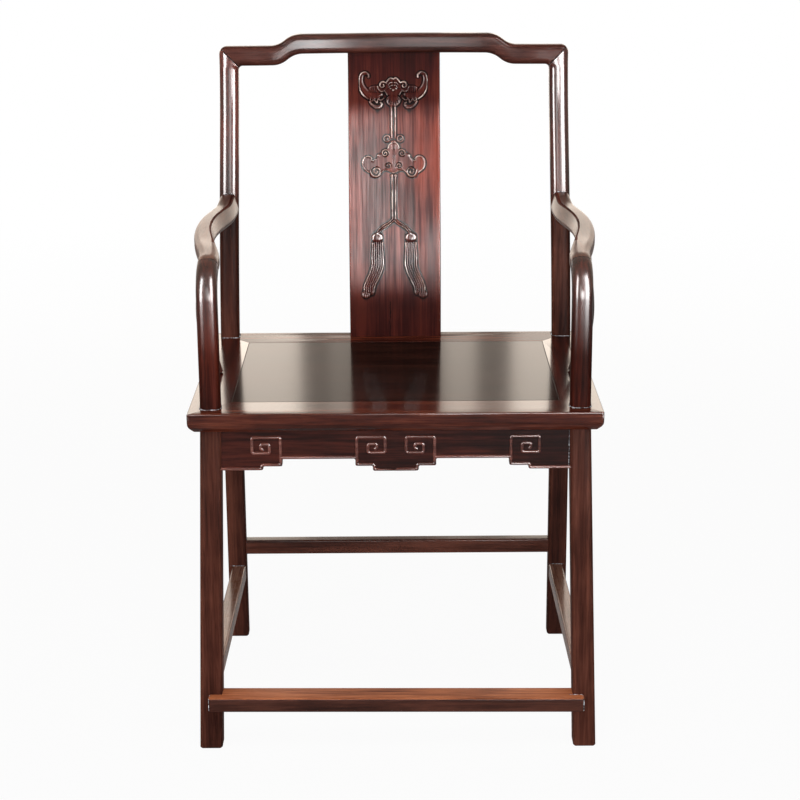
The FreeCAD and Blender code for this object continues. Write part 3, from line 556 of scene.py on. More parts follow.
def foot_rail():
    """The foot rail, notched round the legs' fronts, its top trodden bare."""
    low, top = FOOT_RAIL_TOP - FOOT_RAIL_HEIGHT, FOOT_RAIL_TOP
    share = low / SEAT_UNDERSIDE
    inside = between(FRONT_FOOT_OUTSIDE - FOOT[0], FRONT_LEG_OUTSIDE - LEG[0], share)
    notch = between(FRONT_FOOT_FRONT, FRONT_LEG_FRONT, share) + FOOT_RAIL_NOTCH
    behind = inside - FOOT_RAIL_NOTCH_RUN
    left, right = FOOT_RAIL_ENDS
    rings = []
    for x, back, inset in ((left, notch, FOOT_EASE), (left + FOOT_EASE, notch, 0), (-inside, notch, 0),
                           (-behind, FOOT_RAIL_BACK, 0), (behind, FOOT_RAIL_BACK, 0), (inside, notch, 0),
                           (right - FOOT_EASE, notch, 0), (right, notch, FOOT_EASE)):
        front = FOOT_RAIL_FRONT + inset
        section = rounded([(front, low + inset, FOOT_RAIL_ROUND), (back, low + inset, FOOT_RAIL_BACK_ROUND),
                           (back, top - inset, FOOT_RAIL_BACK_ROUND), (front, top - inset, FOOT_RAIL_ROUND)],
                          flats=2)
        rings.append([(x, y, z - FOOT_RAIL_DROP * (x - left) / (right - left)) for y, z in section])
    rail = skin("foot_rail_shown", rings)
    for face in rail.data.polygons:
        face.material_index = int(face.normal.z > 0.5)
    return rail


# Geometry nodes, for what follows a line

class Rule:
    """A tree of geometry nodes with named inputs."""

    def __init__(self, name, **sizes):
        self.tree = bpy.data.node_groups.new(name, "GeometryNodeTree")
        self.tree.is_modifier = True
        self.sockets = {}
        self.tree.interface.new_socket("Geometry", in_out="INPUT", socket_type="NodeSocketGeometry")
        for size, kind in sizes.items():
            self.sockets[size] = self.tree.interface.new_socket(size, in_out="INPUT",
                                                                socket_type="NodeSocket" + kind)
        self.tree.interface.new_socket("Geometry", in_out="OUTPUT", socket_type="NodeSocketGeometry")
        self.given = self.tree.nodes.new("NodeGroupInput").outputs
        self.line = self.given[0]

    def add(self, kind, settings=None, **inputs):
        node = self.tree.nodes.new(kind)
        for key, value in (settings or {}).items():
            setattr(node, key, value)
        for key, value in inputs.items():
            socket = node.inputs[key.replace("_", " ")]
            if isinstance(value, bpy.types.NodeSocket):
                self.tree.links.new(value, socket)
            else:
                socket.default_value = value
        return node.outputs[0]

    def tube(self, line, sides, radius, **scale):
        """Ends the tree with a tube along a line, as a solid in its material."""
        profile = self.add("GeometryNodeCurvePrimitiveCircle", Resolution=sides, Radius=radius)
        shape = self.add("GeometryNodeCurveToMesh", Curve=line, Profile_Curve=profile, Fill_Caps=True, **scale)
        solid = self.add("GeometryNodeRealizeInstances", Geometry=shape)
        dressed = self.add("GeometryNodeSetMaterial", Geometry=solid, Material=self.given["material"])
        end = self.tree.nodes.new("NodeGroupOutput")
        self.tree.links.new(dressed, end.inputs[0])
        return self

    def run(self, piece, **values):
        """Runs the tree on a curve and leaves a plain mesh."""
        modifier = piece.modifiers.new(self.tree.name, "NODES")
        modifier.node_group = self.tree
        for size, value in values.items():
            modifier[self.sockets[size].identifier] = value
        return applied(piece, TUBE_SMOOTH)


def bead_rule():
    """A round bead along a line, its corners rounded."""
    rule = Rule("raised bead", radius="Float", corner="Float", material="Material")
    soft = rule.add("GeometryNodeFilletCurve", {"mode": "POLY"}, Curve=rule.line, Count=5,
                    Radius=rule.given["corner"], Limit_Radius=True)
    return rule.tube(soft, 14, rule.given["radius"])


def turned_rule():
    """A turned rod along a line, whose diameter falls evenly from its foot to its head."""
    rule = Rule("turned rod", foot="Float", head="Float", steps="Int", material="Material")
    even = rule.add("GeometryNodeResampleCurve", Curve=rule.line, Count=rule.given["steps"])
    share = rule.add("GeometryNodeSplineParameter")
    radius = rule.add("ShaderNodeMapRange", Value=share, To_Min=rule.given["foot"], To_Max=rule.given["head"])
    return rule.tube(even, 28, MM, Scale=radius)


def wax_rule():
    """A thin broken bead of old wax along a line."""
    rule = Rule("old wax", radius="Float", step="Float", material="Material")
    even = rule.add("GeometryNodeResampleCurve", {"mode": "LENGTH"}, Curve=rule.line, Length=rule.given["step"])
    lump = rule.add("ShaderNodeTexNoise", Scale=260.0, Detail=3.0)
    radius = rule.add("ShaderNodeMapRange", Value=lump, From_Min=0.42, From_Max=0.68, To_Min=0.12, To_Max=1.0)
    return rule.tube(even, 8, rule.given["radius"], Scale=radius)


def drawn_line(name, lines, closed=False):
    """A curve object with one straight-run line for each list of points."""
    curve = bpy.data.curves.new(name, "CURVE")
    curve.dimensions = "3D"
    for line in lines:
        run = curve.splines.new("POLY")
        run.points.add(len(line) - 1)
        for point, place in zip(run.points, metres(line)):
            point.co = (*place, 1)
        run.use_cyclic_u = closed
    return in_scene(name, curve)


def arm_brace(rule, finish):
    """The left side brace, bowed outwards, from the side rail up into the arm."""
    head = arm_line()(BRACE_PLACE + BRACE_SHIFT) - (0, 0, ARM_HEIGHT / 2 + BRACE_HEAD)
    foot = np.array([-BRACE_FOOT_X, BRACE_PLACE, SEAT_TOP])
    bow = spline([up for up, _ in BRACE_CURVE], [out for _, out in BRACE_CURVE])
    shares = np.linspace(0, 1, 40)
    line = [foot + (head - foot) * up - (BRACE_BOW * bow(up), 0, 0) for up in shares]
    line.append(head + (0, 0, BRACE_HEAD + BRACE_TENON))
    rod = drawn_line("arm_brace_left_shown", [line])
    return rule.run(rod, foot=BRACE_FOOT_DIAMETER / 2, head=BRACE_TOP_DIAMETER / 2, steps=44, material=finish)


# Front apron

def apron_outline():
    """Corners of the front apron's board, with their radii."""
    end, outer, inner, centre = APRON_PLACES
    soft, softer = APRON_ROUND, APRON_END_ROUND
    half = [(APRON_HALF, SEAT_UNDERSIDE, 0), (APRON_HALF, APRON_END, 0), (end, APRON_END, softer),
            (end, APRON_STEP, soft), (outer, APRON_STEP, soft), (outer, APRON_FIELD, soft),
            (inner, APRON_FIELD, soft), (inner, APRON_STEP, soft), (centre, APRON_STEP, soft),
            (centre, APRON_CENTRE, softer)]
    return half + [(-x, z, r) for x, z, r in reversed(half)]


def apron_board():
    """The front apron's board, cut to its stepped outline."""
    outline = rounded(apron_outline(), steps=6)
    rings = [[(x, y, z) for x, z in outline] for y in (APRON_FACE, APRON_FACE + APRON_THICKNESS)]
    return skin("front_apron_shown", rings)


def fret(side, turn):
    """Corners of a key fret that leaves its side bead towards turn, -1 or 1."""
    far = side + turn * FRET_WIDTH
    bar_end = far - turn * FRET_BAR_LENGTH
    curl = bar_end + turn * FRET_CURL_WIDTH
    return [(side, FRET_TOP), (far, FRET_TOP), (far, FRET_BAR), (bar_end, FRET_BAR), (bar_end, FRET_CURL),
            (curl, FRET_CURL), (curl, FRET_TIP), (curl - turn * FRET_TIP_RUN, FRET_TIP - FRET_TIP_DROP)]


def apron_beads(rule, finish):
    """The raised bead along the apron's lower edge, which runs into four key frets."""
    half = BEAD_WIDTH / 2
    end, outer = -APRON_PLACES[0] - half, -APRON_PLACES[1] - half
    inner, centre = half - APRON_PLACES[2], half - APRON_PLACES[3]
    low, step, lowest, field = (z + half for z in (APRON_END, APRON_STEP, APRON_CENTRE, APRON_FIELD))
    leg = LEG[0] - FRONT_LEG_OUTSIDE - BEAD_END_REACH
    beside_leg = [(leg, low), (end, low), (end, step), (outer, step)] + fret(outer, -1)
    left_middle = [(0, lowest), (centre, lowest), (centre, step), (inner, step)] + fret(inner, 1)
    right_middle = [(-x, z) for x, z in left_middle]
    middle = right_middle[:0:-1] + left_middle
    lines = [beside_leg, [(-x, z) for x, z in beside_leg], middle,
             [(outer, field), (inner, field)], [(-outer, field), (-inner, field)]]
    depth = APRON_FACE + half - BEAD_RISE
    beads = drawn_line("front_apron_bead", [[(x, depth, z) for x, z in line] for line in lines])
    return rule.run(beads, radius=half * MM, corner=BEAD_CORNER * MM, material=finish)


# Splat and its carving, which is the same on both sides of the middle

CARVING_MIDDLE = -1.2
CARVED_HALF = 55.0
CARVED_REACH = 55.8
CARVED_COLUMN = 0.56
LINE_STEPS = 8
SMOOTHING = 5
MARK_LIMIT = 2.0
HOLLOW_RIM = 0.82
HOLLOW_DEPTH = 4.0
# The carved board's rows from above: the two heights between which it's carved, and runs of rows with their steps
CARVED_HEIGHTS = (937.0, 576.0)
CARVED_ROWS = [(934.6, 872.0, 0.52), (871.5, 836.0, 3.2), (835.5, 764.0, 0.5), (763.0, 708.0, 3.4),
               (706.5, 578.0, 0.95)]
STRAND_COUNT = 6


def smooth_line(points, closed=False):
    """Points of a smooth line that passes through the given ones."""
    points = [np.array(p, float) for p in points]
    count = len(points)
    last = count if closed else count - 1
    line = []
    for i in range(last):
        before = points[(i - 1) % count] if closed or i else 2 * points[0] - points[1]
        here, ahead = points[i], points[(i + 1) % count]
        after = points[(i + 2) % count] if closed or i + 2 < count else 2 * ahead - here
        for t in np.arange(LINE_STEPS) / LINE_STEPS:
            line.append(here + ((ahead - before) * t + (2 * before - 5 * here + 4 * ahead - after) * t ** 2
                                + (3 * here - before - 3 * ahead + after) * t ** 3) / 2)
    if not closed:
        line.append(points[-1])
    return np.array(line)


def spiral(middle, outer, inner, start, turns, steps=26):
    """Points of a scroll that winds inwards; angles in degrees, turns negative for clockwise."""
    angles = np.radians(start + np.linspace(0, 360 * turns, steps))
    radii = np.linspace(outer, inner, steps)
    return [(middle[0] + r * math.cos(a), middle[1] + r * math.sin(a)) for r, a in zip(radii, angles)]


class Relief:
    """Carving as a height over the splat's face, at places given as x and z."""

    def __init__(self, x, z):
        self.x, self.z = np.abs(x - CARVING_MIDDLE), z
        self.height = np.zeros_like(x)

    def distance(self, line, reach):
        """Distance to a line and the share of the line where it is nearest, for the places within reach."""
        low, high = line.min(0) - reach, line.max(0) + reach
        near = (self.x > low[0]) & (self.x < high[0]) & (self.z > low[1]) & (self.z < high[1])
        px, pz = self.x[near], self.z[near]
        best, share = np.full(px.shape, 1e9), np.zeros(px.shape)
        count = len(line) - 1
        for i in range(count):
            ax, az = line[i]
            dx, dz = line[i + 1] - line[i]
            length = max(dx * dx + dz * dz, 1e-9)
            t = np.clip(((px - ax) * dx + (pz - az) * dz) / length, 0, 1)
            away = np.hypot(px - ax - t * dx, pz - az - t * dz)
            closer = away < best
            best = np.where(closer, away, best)
            share = np.where(closer, (i + t) / count, share)
        return near, best, share

    def lift(self, near, height):
        self.height[near] = np.maximum(self.height[near], height)

    def ridge(self, points, half_widths, rise, low, straight=False):
        """A half-round ridge along a line; its half width may change from point to point."""
        line = np.array(points, float) if straight else smooth_line(points)
        half_widths = np.atleast_1d(np.array(half_widths, float))
        near, away, share = self.distance(line, half_widths.max() + 1)
        half = np.interp(share, np.linspace(0, 1, len(half_widths)), half_widths)
        t = np.clip(away / half, 0, 1)
        shape = np.sqrt(1 - t * t)
        self.lift(near, np.where(away < half, low + (rise - low) * shape, 0))

    def groove(self, points, half_width, depth):
        near, away, _ = self.distance(smooth_line(points), half_width + 1)
        t = np.clip(away / half_width, 0, 1)
        self.height[near] = np.maximum(self.height[near] - depth * (1 - t * t), 0)

    def oval(self, middle, radii):
        """How far out each place is in an oval: 0 in its middle, 1 on its edge."""
        return np.hypot((self.x - middle[0]) / radii[0], (self.z - middle[1]) / radii[1])

    def dome(self, middle, radii, rise, low=0.0, power=2.0):
        t = self.oval(middle, radii)
        inside = t < 1
        self.lift(inside, low + (rise - low) * np.sqrt(1 - t[inside] ** power))

    def hollow(self, middle, radii, floor):
        """Lowers what lies inside an oval to a floor, with sloping sides."""
        t = self.oval(middle, radii)
        limit = floor + np.clip((t - HOLLOW_RIM) / (1 - HOLLOW_RIM), 0, 1) * HOLLOW_DEPTH
        inside = t < 1
        self.height[inside] = np.minimum(self.height[inside], limit[inside])

    def plateau(self, outline, rise, edge):
        """A flat raised form with rounded sides inside a smooth closed outline."""
        line = smooth_line(outline, closed=True)
        line = np.vstack([line, line[:1]])
        near, away, _ = self.distance(line, edge + 1)
        px, pz = self.x[near], self.z[near]
        inside = np.zeros(px.shape, bool)
        for (ax, az), (bx, bz) in zip(line[:-1], line[1:]):
            crosses = (az > pz) != (bz > pz)
            if az != bz:
                inside ^= crosses & (px < ax + (pz - az) * (bx - ax) / (bz - az))
        t = np.clip(away / edge, 0, 1)
        self.lift(near, np.where(inside, rise * np.sqrt(1 - (1 - t) ** 2), 0))


def carve_bat(relief):
    """A bat with curled wings, its head a small cloud."""
    wing = [(38.6, 922.6), (39, 926), (43, 928), (47.8, 926.4), (50.4, 920.8), (50.4, 913.4), (48, 905.8),
            (43.4, 899), (36.6, 894.4), (28, 893), (19, 895)]
    relief.ridge(wing, [1.4, 1.8, 2.3, 3, 3.6, 4, 4.8, 5.6, 5.6, 4.8, 3], 2.9, 1)
    relief.ridge([(39.4, 924.6), (41.6, 928.8), (46, 929.6), (50.6, 927), (53, 921.4), (53.6, 915), (53.2, 908)],
                 [0.9, 1.1, 1.2, 1.2, 1, 0.8, 0.6], 3.5, 1.6)
    relief.ridge([(53.4, 908), (51.4, 900.5), (46.4, 893.5), (39.8, 888.4)], [0.8, 1.5, 1.7, 1.1], 3.6, 0.8)
    relief.dome((38.8, 922), (1.9, 1.9), 3)
    relief.dome((28, 902.5), (11.5, 6.5), 2.2, 1)
    for i in range(6):
        relief.groove([(21 + 3.4 * i, 908.5 - 0.7 * i), (22.5 + 3.2 * i, 898)], 0.7, 0.9)
    relief.plateau([(0, 920), (4.2, 921), (8, 918.6), (11.5, 913.6), (15.8, 915), (20.2, 913.6), (22, 909),
                    (25.2, 907.2), (23.4, 902.6), (18.6, 899.2), (12, 898.8), (8, 893.6), (0, 892),
                    (-8, 893.6), (-12, 899), (-12, 914), (-4.2, 921)], 2.4, 1.6)
    relief.ridge([(0, 918.6), (3.8, 920.2), (7.4, 917.8), (11.2, 913)], 1.2, 3.6, 2.2)
    relief.ridge([(11.4, 912.8), (15.6, 914.4), (19.4, 913), (21, 908.8), (18, 905.8), (14.4, 907.6),
                  (15.4, 910.6)], [1.2, 1.2, 1.3, 1.2, 1.1, 1, 0.9], 3.7, 2.2)
    relief.groove([(13, 911.4), (13.2, 906.2), (17.4, 904.2)], 0.9, 1.2)
    relief.ridge([(24.8, 907.4), (23, 902.6), (18.4, 899.6), (12.6, 901.8)], 1.2, 3.5, 2)
    relief.ridge([(1.6, 913.4), (5.2, 912.6), (8.2, 909.6)], 1, 3.6, 2.4)
    relief.ridge([(1.4, 909), (4.6, 908.4), (6.8, 905.6)], 0.9, 3.5, 2.4)
    relief.dome((4.2, 904), (1.7, 1.4), 3.9, 2.4)
    relief.dome((0, 901.5), (2.6, 2.2), 4.1, 2.4)
    relief.groove([(0, 916.5), (0, 905)], 0.7, 1)
    relief.groove([(2.6, 906.6), (9.4, 903.2)], 0.7, 1)
    relief.ridge([(9.6, 894.6), (11.6, 898.2), (14, 900.6)], 1.1, 3.4, 1.8)
    relief.dome((0, 885.4), (11.6, 9), 3.9, 1.6, 3)
    relief.groove([(-10, 886.2), (-7.6, 890), (0, 892.4), (7.6, 890), (10, 886.2)], 0.6, 0.6)
    for x, tip in ((0, 878.2), (4, 879.4), (7.6, 881.6)):
        relief.groove([(x, tip), (x * 0.72, tip + 4.6)], 0.8, 1.1)
    relief.ridge(spiral((33.6, 887.4), 4.2, 1.4, 200, -1.2), 1.15, 3, 0.8)
    relief.ridge([(37.2, 884), (33.6, 879.4), (27.6, 876), (21.4, 876.2), (18.2, 879.8), (20.2, 882.8)],
                 [1.4, 2.2, 3, 2.8, 2, 1.2], 3.1, 1)
    relief.ridge([(29.5, 886.5), (26, 882.6), (24.6, 887), (21.6, 890.4)], [1, 1.2, 1.2, 0.8], 2.6, 0.8)
    relief.ridge([(26.6, 890.6), (20, 886.2), (14.6, 889.6)], [0.8, 1.3, 0.8], 2.4, 0.8)


def carve_cloud(relief):
    """A cloud head with scrolls, hung from the bat by a cord with two loops."""
    relief.ridge(spiral((10.4, 827.6), 4.6, 4.6, 20, 1), 1.45, 3.2, 0.4)
    relief.dome((10.4, 827.6), (3, 3), 0.8)
    relief.dome((0, 822.6), (4.6, 2.4), 2.6, 0.8)
    outline = [(0, 821.2), (5, 820.2), (7.6, 816.6), (8.6, 812.8), (13.4, 812.4), (18.4, 810.2), (20.6, 805.8),
               (24.2, 804.8), (26, 801.2), (28.4, 796.6), (31.6, 793.8), (35, 794.4), (34.4, 797.2),
               (36.8, 799.8), (41, 800.6), (45.8, 798.4), (48.6, 793.6), (48.8, 787.8), (46.4, 782.2), (42, 778.2),
               (38.8, 776.2), (37.2, 771.4), (32.8, 768.4), (27.6, 768), (22.4, 770), (19.4, 774.4), (17.2, 777.8),
               (12.6, 780), (7, 778), (0, 774.8)]
    whole = outline + [(-x, z) for x, z in outline[-2:0:-1]]
    relief.plateau(whole, 2.5, 2.2)
    relief.ridge(outline[:4], 1.1, 3.5, 1.6)
    relief.ridge([(5, 819.6), (2.2, 814.6), (3.2, 811.4), (0, 811)], 0.9, 3.3, 1.8)
    for middle, radius in (((13.2, 805), 6.2), ((8.6, 786.4), 6), ((27.6, 777.8), 8.6)):
        relief.hollow(middle, (radius, radius), 0.2)
    relief.ridge(spiral((13.3, 805.2), 6.5, 1, 190, -1.45, 40), [1.2, 1.1, 1, 1.2], 3.5, 0.6, True)
    relief.ridge(spiral((8.4, 786.3), 6.3, 1, 80, -1.45, 40), [1.2, 1.1, 1, 1.2], 3.5, 0.6, True)
    relief.ridge(spiral((27.6, 777.8), 9, 1.2, 20, -1.6, 56), [1.5, 1.3, 1.2, 1.4], 3.7, 0.6, True)
    relief.dome((24, 801.6), (2.6, 2.4), 3.4, 1.6)
    relief.ridge(outline[9:13] + [(34.8, 796.4)], 0.9, 3.3, 1.6)
    relief.ridge(outline[12:21], [0.9, 1.2, 1.4, 1.5, 1.5, 1.4, 1.2, 1, 0.9], 3.5, 1.8)
    relief.ridge([(19.8, 776.6), (14.2, 780.2), (7.6, 778.8), (0, 775.4)], 1, 3.3, 1.8)
    relief.ridge([(0, 796.8), (3, 800.2), (0, 803.6), (-3, 800.2), (0, 796.8)], 0.8, 3.4, 2.2, True)
    relief.dome((0, 800.2), (1.2, 1.2), 2.9, 2)
    relief.ridge([(0.9, 795.6), (1.2, 790.8), (2.2, 783)], 0.8, 3.2, 2)
    relief.dome((2.9, 771.2), (2.6, 2.6), 3, 0.4)


def carve_tassels(relief):
    """The cord parts and ends in two tassels, each under a bead, their strands sweeping outwards."""
    relief.ridge([(3, 880), (2.9, 829)], 1.5, 2.5, 0, True)
    relief.ridge([(2.7, 771), (2.6, 706)], 1.5, 2.5, 0, True)
    branch = [(0.9, 704.6), (6, 699.6), (12.5, 695.6), (19, 691.6), (23, 687.6), (25.8, 683.4)]
    for offset in (-1.35, 1.35):
        relief.ridge([(x + offset * 0.7, z + offset * 0.95) for x, z in branch], 1.25, 2.3, 0)
    relief.dome((26.6, 676.2), (9.2, 7.6), 3.9, 1.2, 2.6)
    relief.hollow((26.6, 683.8), (3.4, 1.8), 1.6)
    relief.dome((26.4, 682.4), (2.5, 2.6), 3.8, 1)
    for k in range(STRAND_COUNT):
        top, middle = 18.6 + 3.15 * k, 17.8 + 3.5 * k
        line = [(top, 668.5), (top, 660), (middle, 648), (middle - 0.2, 634), (middle + 3, 622),
                (middle + 9, 609), (middle + 14 - 0.25 * k, 598), (middle + 15 - 0.6 * k, 590)]
        relief.ridge(line, [1.4, 1.6, 1.75, 1.8, 1.75, 1.7, 1.6, 1.4], 2.6, 0.3)
    relief.dome((45.4, 586.6), (7, 6), 2.4, 0.8, 3)
    for offset in (-3.2, 0, 3.2):
        relief.groove([(46.8 + offset, 592), (44.6 + offset, 581.6)], 0.7, 0.7)
    relief.dome((35.2, 589.4), (3.6, 4.4), 2.2, 0.8)


def splat():
    """The back splat: one curved board whose face is carved in low relief."""
    front = lean_line(SPLAT_FOOT, SPLAT_LEAN, SPLAT_TOP)
    half, ease = SPLAT_WIDTH / 2, SPLAT_EASE
    edge = half - ease - np.array(SPLAT_EDGE_COLUMNS)
    carved = np.arange(CARVING_MIDDLE - CARVED_REACH, CARVING_MIDDLE + CARVED_REACH + 0.2, CARVED_COLUMN)
    columns = np.concatenate([-edge, carved, edge[::-1]])
    above, below = CARVED_HEIGHTS
    levels = np.concatenate([np.linspace(SPLAT_TOP, above, 4),
                             *(np.arange(high, low, -step) for high, low, step in CARVED_ROWS),
                             np.linspace(below, SEAT_TOP, 16)])
    x, z = np.meshgrid(columns, levels)
    relief = Relief(x.ravel(), z.ravel())
    carve_tassels(relief)
    carve_bat(relief)
    carve_cloud(relief)
    height = relief.height.reshape(x.shape)
    rings = []
    for row, level in enumerate(levels):
        y = front(level)
        slope = (front(level + 1) - front(level - 1)) / 2
        length = math.hypot(1, slope)
        face = [(column, y - h / length, level + h * slope / length) for column, h in zip(columns, height[row])]
        back = y + SPLAT_THICKNESS
        rings.append(face + [(half, y + ease, level), (half, back - ease, level), (half - ease, back, level),
                             (ease - half, back, level), (-half, back - ease, level), (-half, y + ease, level)])
    board = skin("splat_shown", rings, CARVING_SMOOTH)
    rest = [0.0] * (len(rings[0]) - len(columns))
    detail = np.where(np.abs(x - CARVING_MIDDLE) < CARVED_HALF, height - smoothed(height), 0)
    # The finish darkens the hollows with painted shade and lightens the raised heights with wear and a painted
    # highlight.
    for name, value in (("hollow", -detail), ("rubbed_and_highlit", detail)):
        marks = board.data.attributes.new(name, "FLOAT", "POINT")
        marks.data.foreach_set("value", [v for row in np.clip(value, 0, MARK_LIMIT) for v in list(row) + rest])
    return board


def smoothed(height):
    """The carving's height with its detail averaged away over a few columns and rows to each side."""
    for axis in (0, 1):
        total = np.cumsum(np.insert(height, 0, 0, axis), axis)
        count = height.shape[axis]
        low = np.clip(np.arange(count) - SMOOTHING, 0, count)
        high = np.clip(np.arange(count) + SMOOTHING + 1, 0, count)
        span = (high - low).reshape((-1, 1) if axis == 0 else (1, -1))
        height = (np.take(total, high, axis) - np.take(total, low, axis)) / span
    return height


# Finishes

class Shade:
    """A socket in a finish; arithmetic on it adds Math nodes."""

    def __init__(self, finish, socket):
        self.finish, self.socket = finish, socket

    def __add__(self, other):
        return self.finish.sum("ADD", self, other)

    def __radd__(self, other):
        return self.finish.sum("ADD", other, self)

    def __sub__(self, other):
        return self.finish.sum("SUBTRACT", self, other)

    def __rsub__(self, other):
        return self.finish.sum("SUBTRACT", other, self)

    def __mul__(self, other):
        return self.finish.sum("MULTIPLY", self, other)

    def __rmul__(self, other):
        return self.finish.sum("MULTIPLY", other, self)

    def __gt__(self, other):
        return self.finish.sum("GREATER_THAN", self, other)

    def __lt__(self, other):
        return self.finish.sum("LESS_THAN", self, other)

    def __abs__(self):
        return self.finish.sum("ABSOLUTE", self)


class Finish:
    """The look of a material or a world, built node by node."""

    def __init__(self, owner):
        self.owner = owner
        owner.use_nodes = True
        self.tree = owner.node_tree
        self.tree.nodes.clear()

    def node(self, kind, settings=None, inputs=None, output=0):
        made = self.tree.nodes.new("ShaderNode" + kind)
        for key, value in (settings or {}).items():
            if key == "stops":
                ramp = made.color_ramp.elements
                ramp.remove(ramp[-1])
                for i, (place, colour) in enumerate(value):
                    stop = ramp[0] if i == 0 else ramp.new(place)
                    stop.position, stop.color = place, (*colour, 1)
            else:
                setattr(made, key, value)
        for key, value in (inputs or {}).items():
            if isinstance(value, Shade):
                self.tree.links.new(value.socket, made.inputs[key])
            else:
                made.inputs[key].default_value = value
        return Shade(self, made.outputs[output])

    def place(self):
        return self.node("TexCoord", output="Object")

    def axis(self, place, name):
        return self.node("SeparateXYZ", None, {"Vector": place}, name)

    def mark(self, name):
        """A piece's own measure at each of its points."""
        return self.node("Attribute", {"attribute_name": name}, output="Fac")

    def rays(self):
        """Whether a ray is the camera's, a mirror's or has gone through glass, as 0 or 1 each."""
        return [self.node("LightPath", output=f"Is {kind} Ray") for kind in ("Camera", "Glossy", "Transmission")]

    def noise(self, place, scale, detail, roughness=0.5, distortion=0.0):
        return self.node("TexNoise", None, {"Vector": place, "Scale": scale, "Detail": detail,
                                            "Roughness": roughness, "Distortion": distortion})

    def sum(self, operation, *values):
        return self.node("Math", {"operation": operation}, dict(enumerate(values)))

    def step(self, value, low, high):
        """0 up to low and 1 from high on, with a soft change between."""
        return self.node("MapRange", {"interpolation_type": "SMOOTHSTEP"},
                         {"Value": value, "From Min": low, "From Max": high})

    def blend(self, share, first, second, kind="MIX"):
        return self.node("Mix", {"data_type": "RGBA", "blend_type": kind}, {"Factor": share, 6: first, 7: second}, 2)

    def ramp(self, value, stops):
        return self.node("ValToRGB", {"stops": stops}, {"Fac": value})

    def surface(self, shader, kind="Material"):
        end = self.tree.nodes.new("ShaderNodeOutput" + kind)
        self.tree.links.new(shader.socket, end.inputs["Surface"])
        return self.owner


def finish_named(name):
    return Finish(bpy.data.materials.new(name))


def rgb(*seen):
    """A colour as seen on a screen, 0 to 255, in linear values."""
    return tuple(c / 12.92 if c <= 0.04045 else ((c + 0.055) / 1.055) ** 2.4 for c in (level / 255 for level in seen))


def tone_set(*colours):
    """The wood's dark, middle and light tones, and a fourth where it is worn bare, which on the carving also stands
    for a painted highlight, from colours on a screen.
    """
    return [rgb(*colour) for colour in colours]


GRAIN = {"x": (0.05, 1, 1), "y": (1, 0.05, 1), "z": (1, 0.3, 0.04), "long z": (1, 0.03, 0.03)}
FIGURE_SCALE = 30
STREAK_SCALE = 200
PORE_SCALE = 1100
CLOUD_SCALE = 6
FINE_SCALE = 70
CLOUD_SHIFT = 0.03
TONE_STOPS = (0.48, 0.61, 0.74)
PORE_DARK = (0.25, 0.2, 0.2, 1)
BUMP_HEIGHT = 0.0005
COAT_IOR = 1.45
JOINT_DARK = (*rgb(16, 9, 8), 1)
WORN_SCALE = 130
WORN_START = 1.02
WORN_RUN = 0.14
WORN_GAIN = 0.45
# Painted shade for the carving's hollows
PAINTED_HOLLOW_SHADE = (*rgb(12, 5, 4), 1)
CRACK_DARK = (*rgb(10, 5, 5), 1)
CRACK_WIDTH = 0.0006
CRACK_WANDER = 0.006
# Heights over which the carved board darkens with painted shade and its lacquer dulls, at its foot and at its head
DULL_SHADED_FOOT = (0.66, 0.56)
DULL_SHADED_HEAD = (0.872, 0.905)


def joint_rim(finish, place, box, colour, rough):
    """Adds a dark, dull joint line along the edge of a board's box."""
    (low_x, low_y, _), (high_x, high_y, _) = box
    across = abs(finish.axis(place, "X") - (low_x + high_x) / 2)
    deep = abs(finish.axis(place, "Y") - (low_y + high_y) / 2)
    inside = finish.sum("MAXIMUM", across - (high_x - low_x) / 2, deep - (high_y - low_y) / 2)
    colour = finish.blend(inside > -JOINT_LINE * MM, colour, JOINT_DARK)
    return colour, rough + (inside > -JOINT_LINE * MM) * 0.8


def bare_patches(finish, place, cloud, worn, bare_tone, colour, rough):
    """Adds dull patches where the lacquer has gone."""
    start = WORN_START - WORN_GAIN * worn
    bare = finish.step(finish.noise(place, WORN_SCALE, 5, 0.7) + cloud * 0.35, start, start + WORN_RUN)
    return finish.blend(bare, colour, (*bare_tone, 1)), rough + bare * 0.15


def carving_wear(finish, place, height, cloud, streak, tones, coat, colour, rough):
    """Adds what is the carved board's alone: dull ends darkened with painted shade, a crack, painted shade in the
    hollows, and raised heights lightened by wear and a painted highlight, which shine.
    """
    hollow, rubbed_and_highlit = finish.mark("hollow"), finish.mark("rubbed_and_highlit")
    foot = finish.step(height, *DULL_SHADED_FOOT)
    head = finish.step(height + cloud * CLOUD_SHIFT, *DULL_SHADED_HEAD)
    # Towards the foot and the head the colour darkens to the dark tone: painted shade.
    colour = finish.blend(foot * 0.8 + head * 0.65, colour, (*tones[0], 1))
    wander = finish.noise(place, 90, 2)
    away = abs(finish.axis(place, "X") - CRACK_PLACE * MM + (wander - 0.5) * CRACK_WANDER)
    crack = (away < CRACK_WIDTH) * (height < CRACK_TOP * MM)
    colour = finish.blend(crack, colour, CRACK_DARK)
    # Painted shade in the carving's hollows.
    colour = finish.blend(finish.step(hollow, 0.08, 0.6) * 0.95, colour, PAINTED_HOLLOW_SHADE)
    touched = finish.step(finish.noise(place, 55, 2), 0.42, 0.60)
    # The raised heights lighten towards the fourth tone: wear and a painted highlight.
    colour = finish.blend(finish.step(rubbed_and_highlit, 0.5, 1.3) * (touched * 0.5 + 0.12), colour, (*tones[3], 1))
    shine = ((1.0 - foot) * (1.0 - head) * (finish.step(streak, 0.3, 0.68) * 0.55 + 0.32) * coat
             + finish.step(rubbed_and_highlit, 0.15, 0.9) * (touched * 0.6 + 0.25))
    return colour, rough + (foot + head) * 0.25, shine


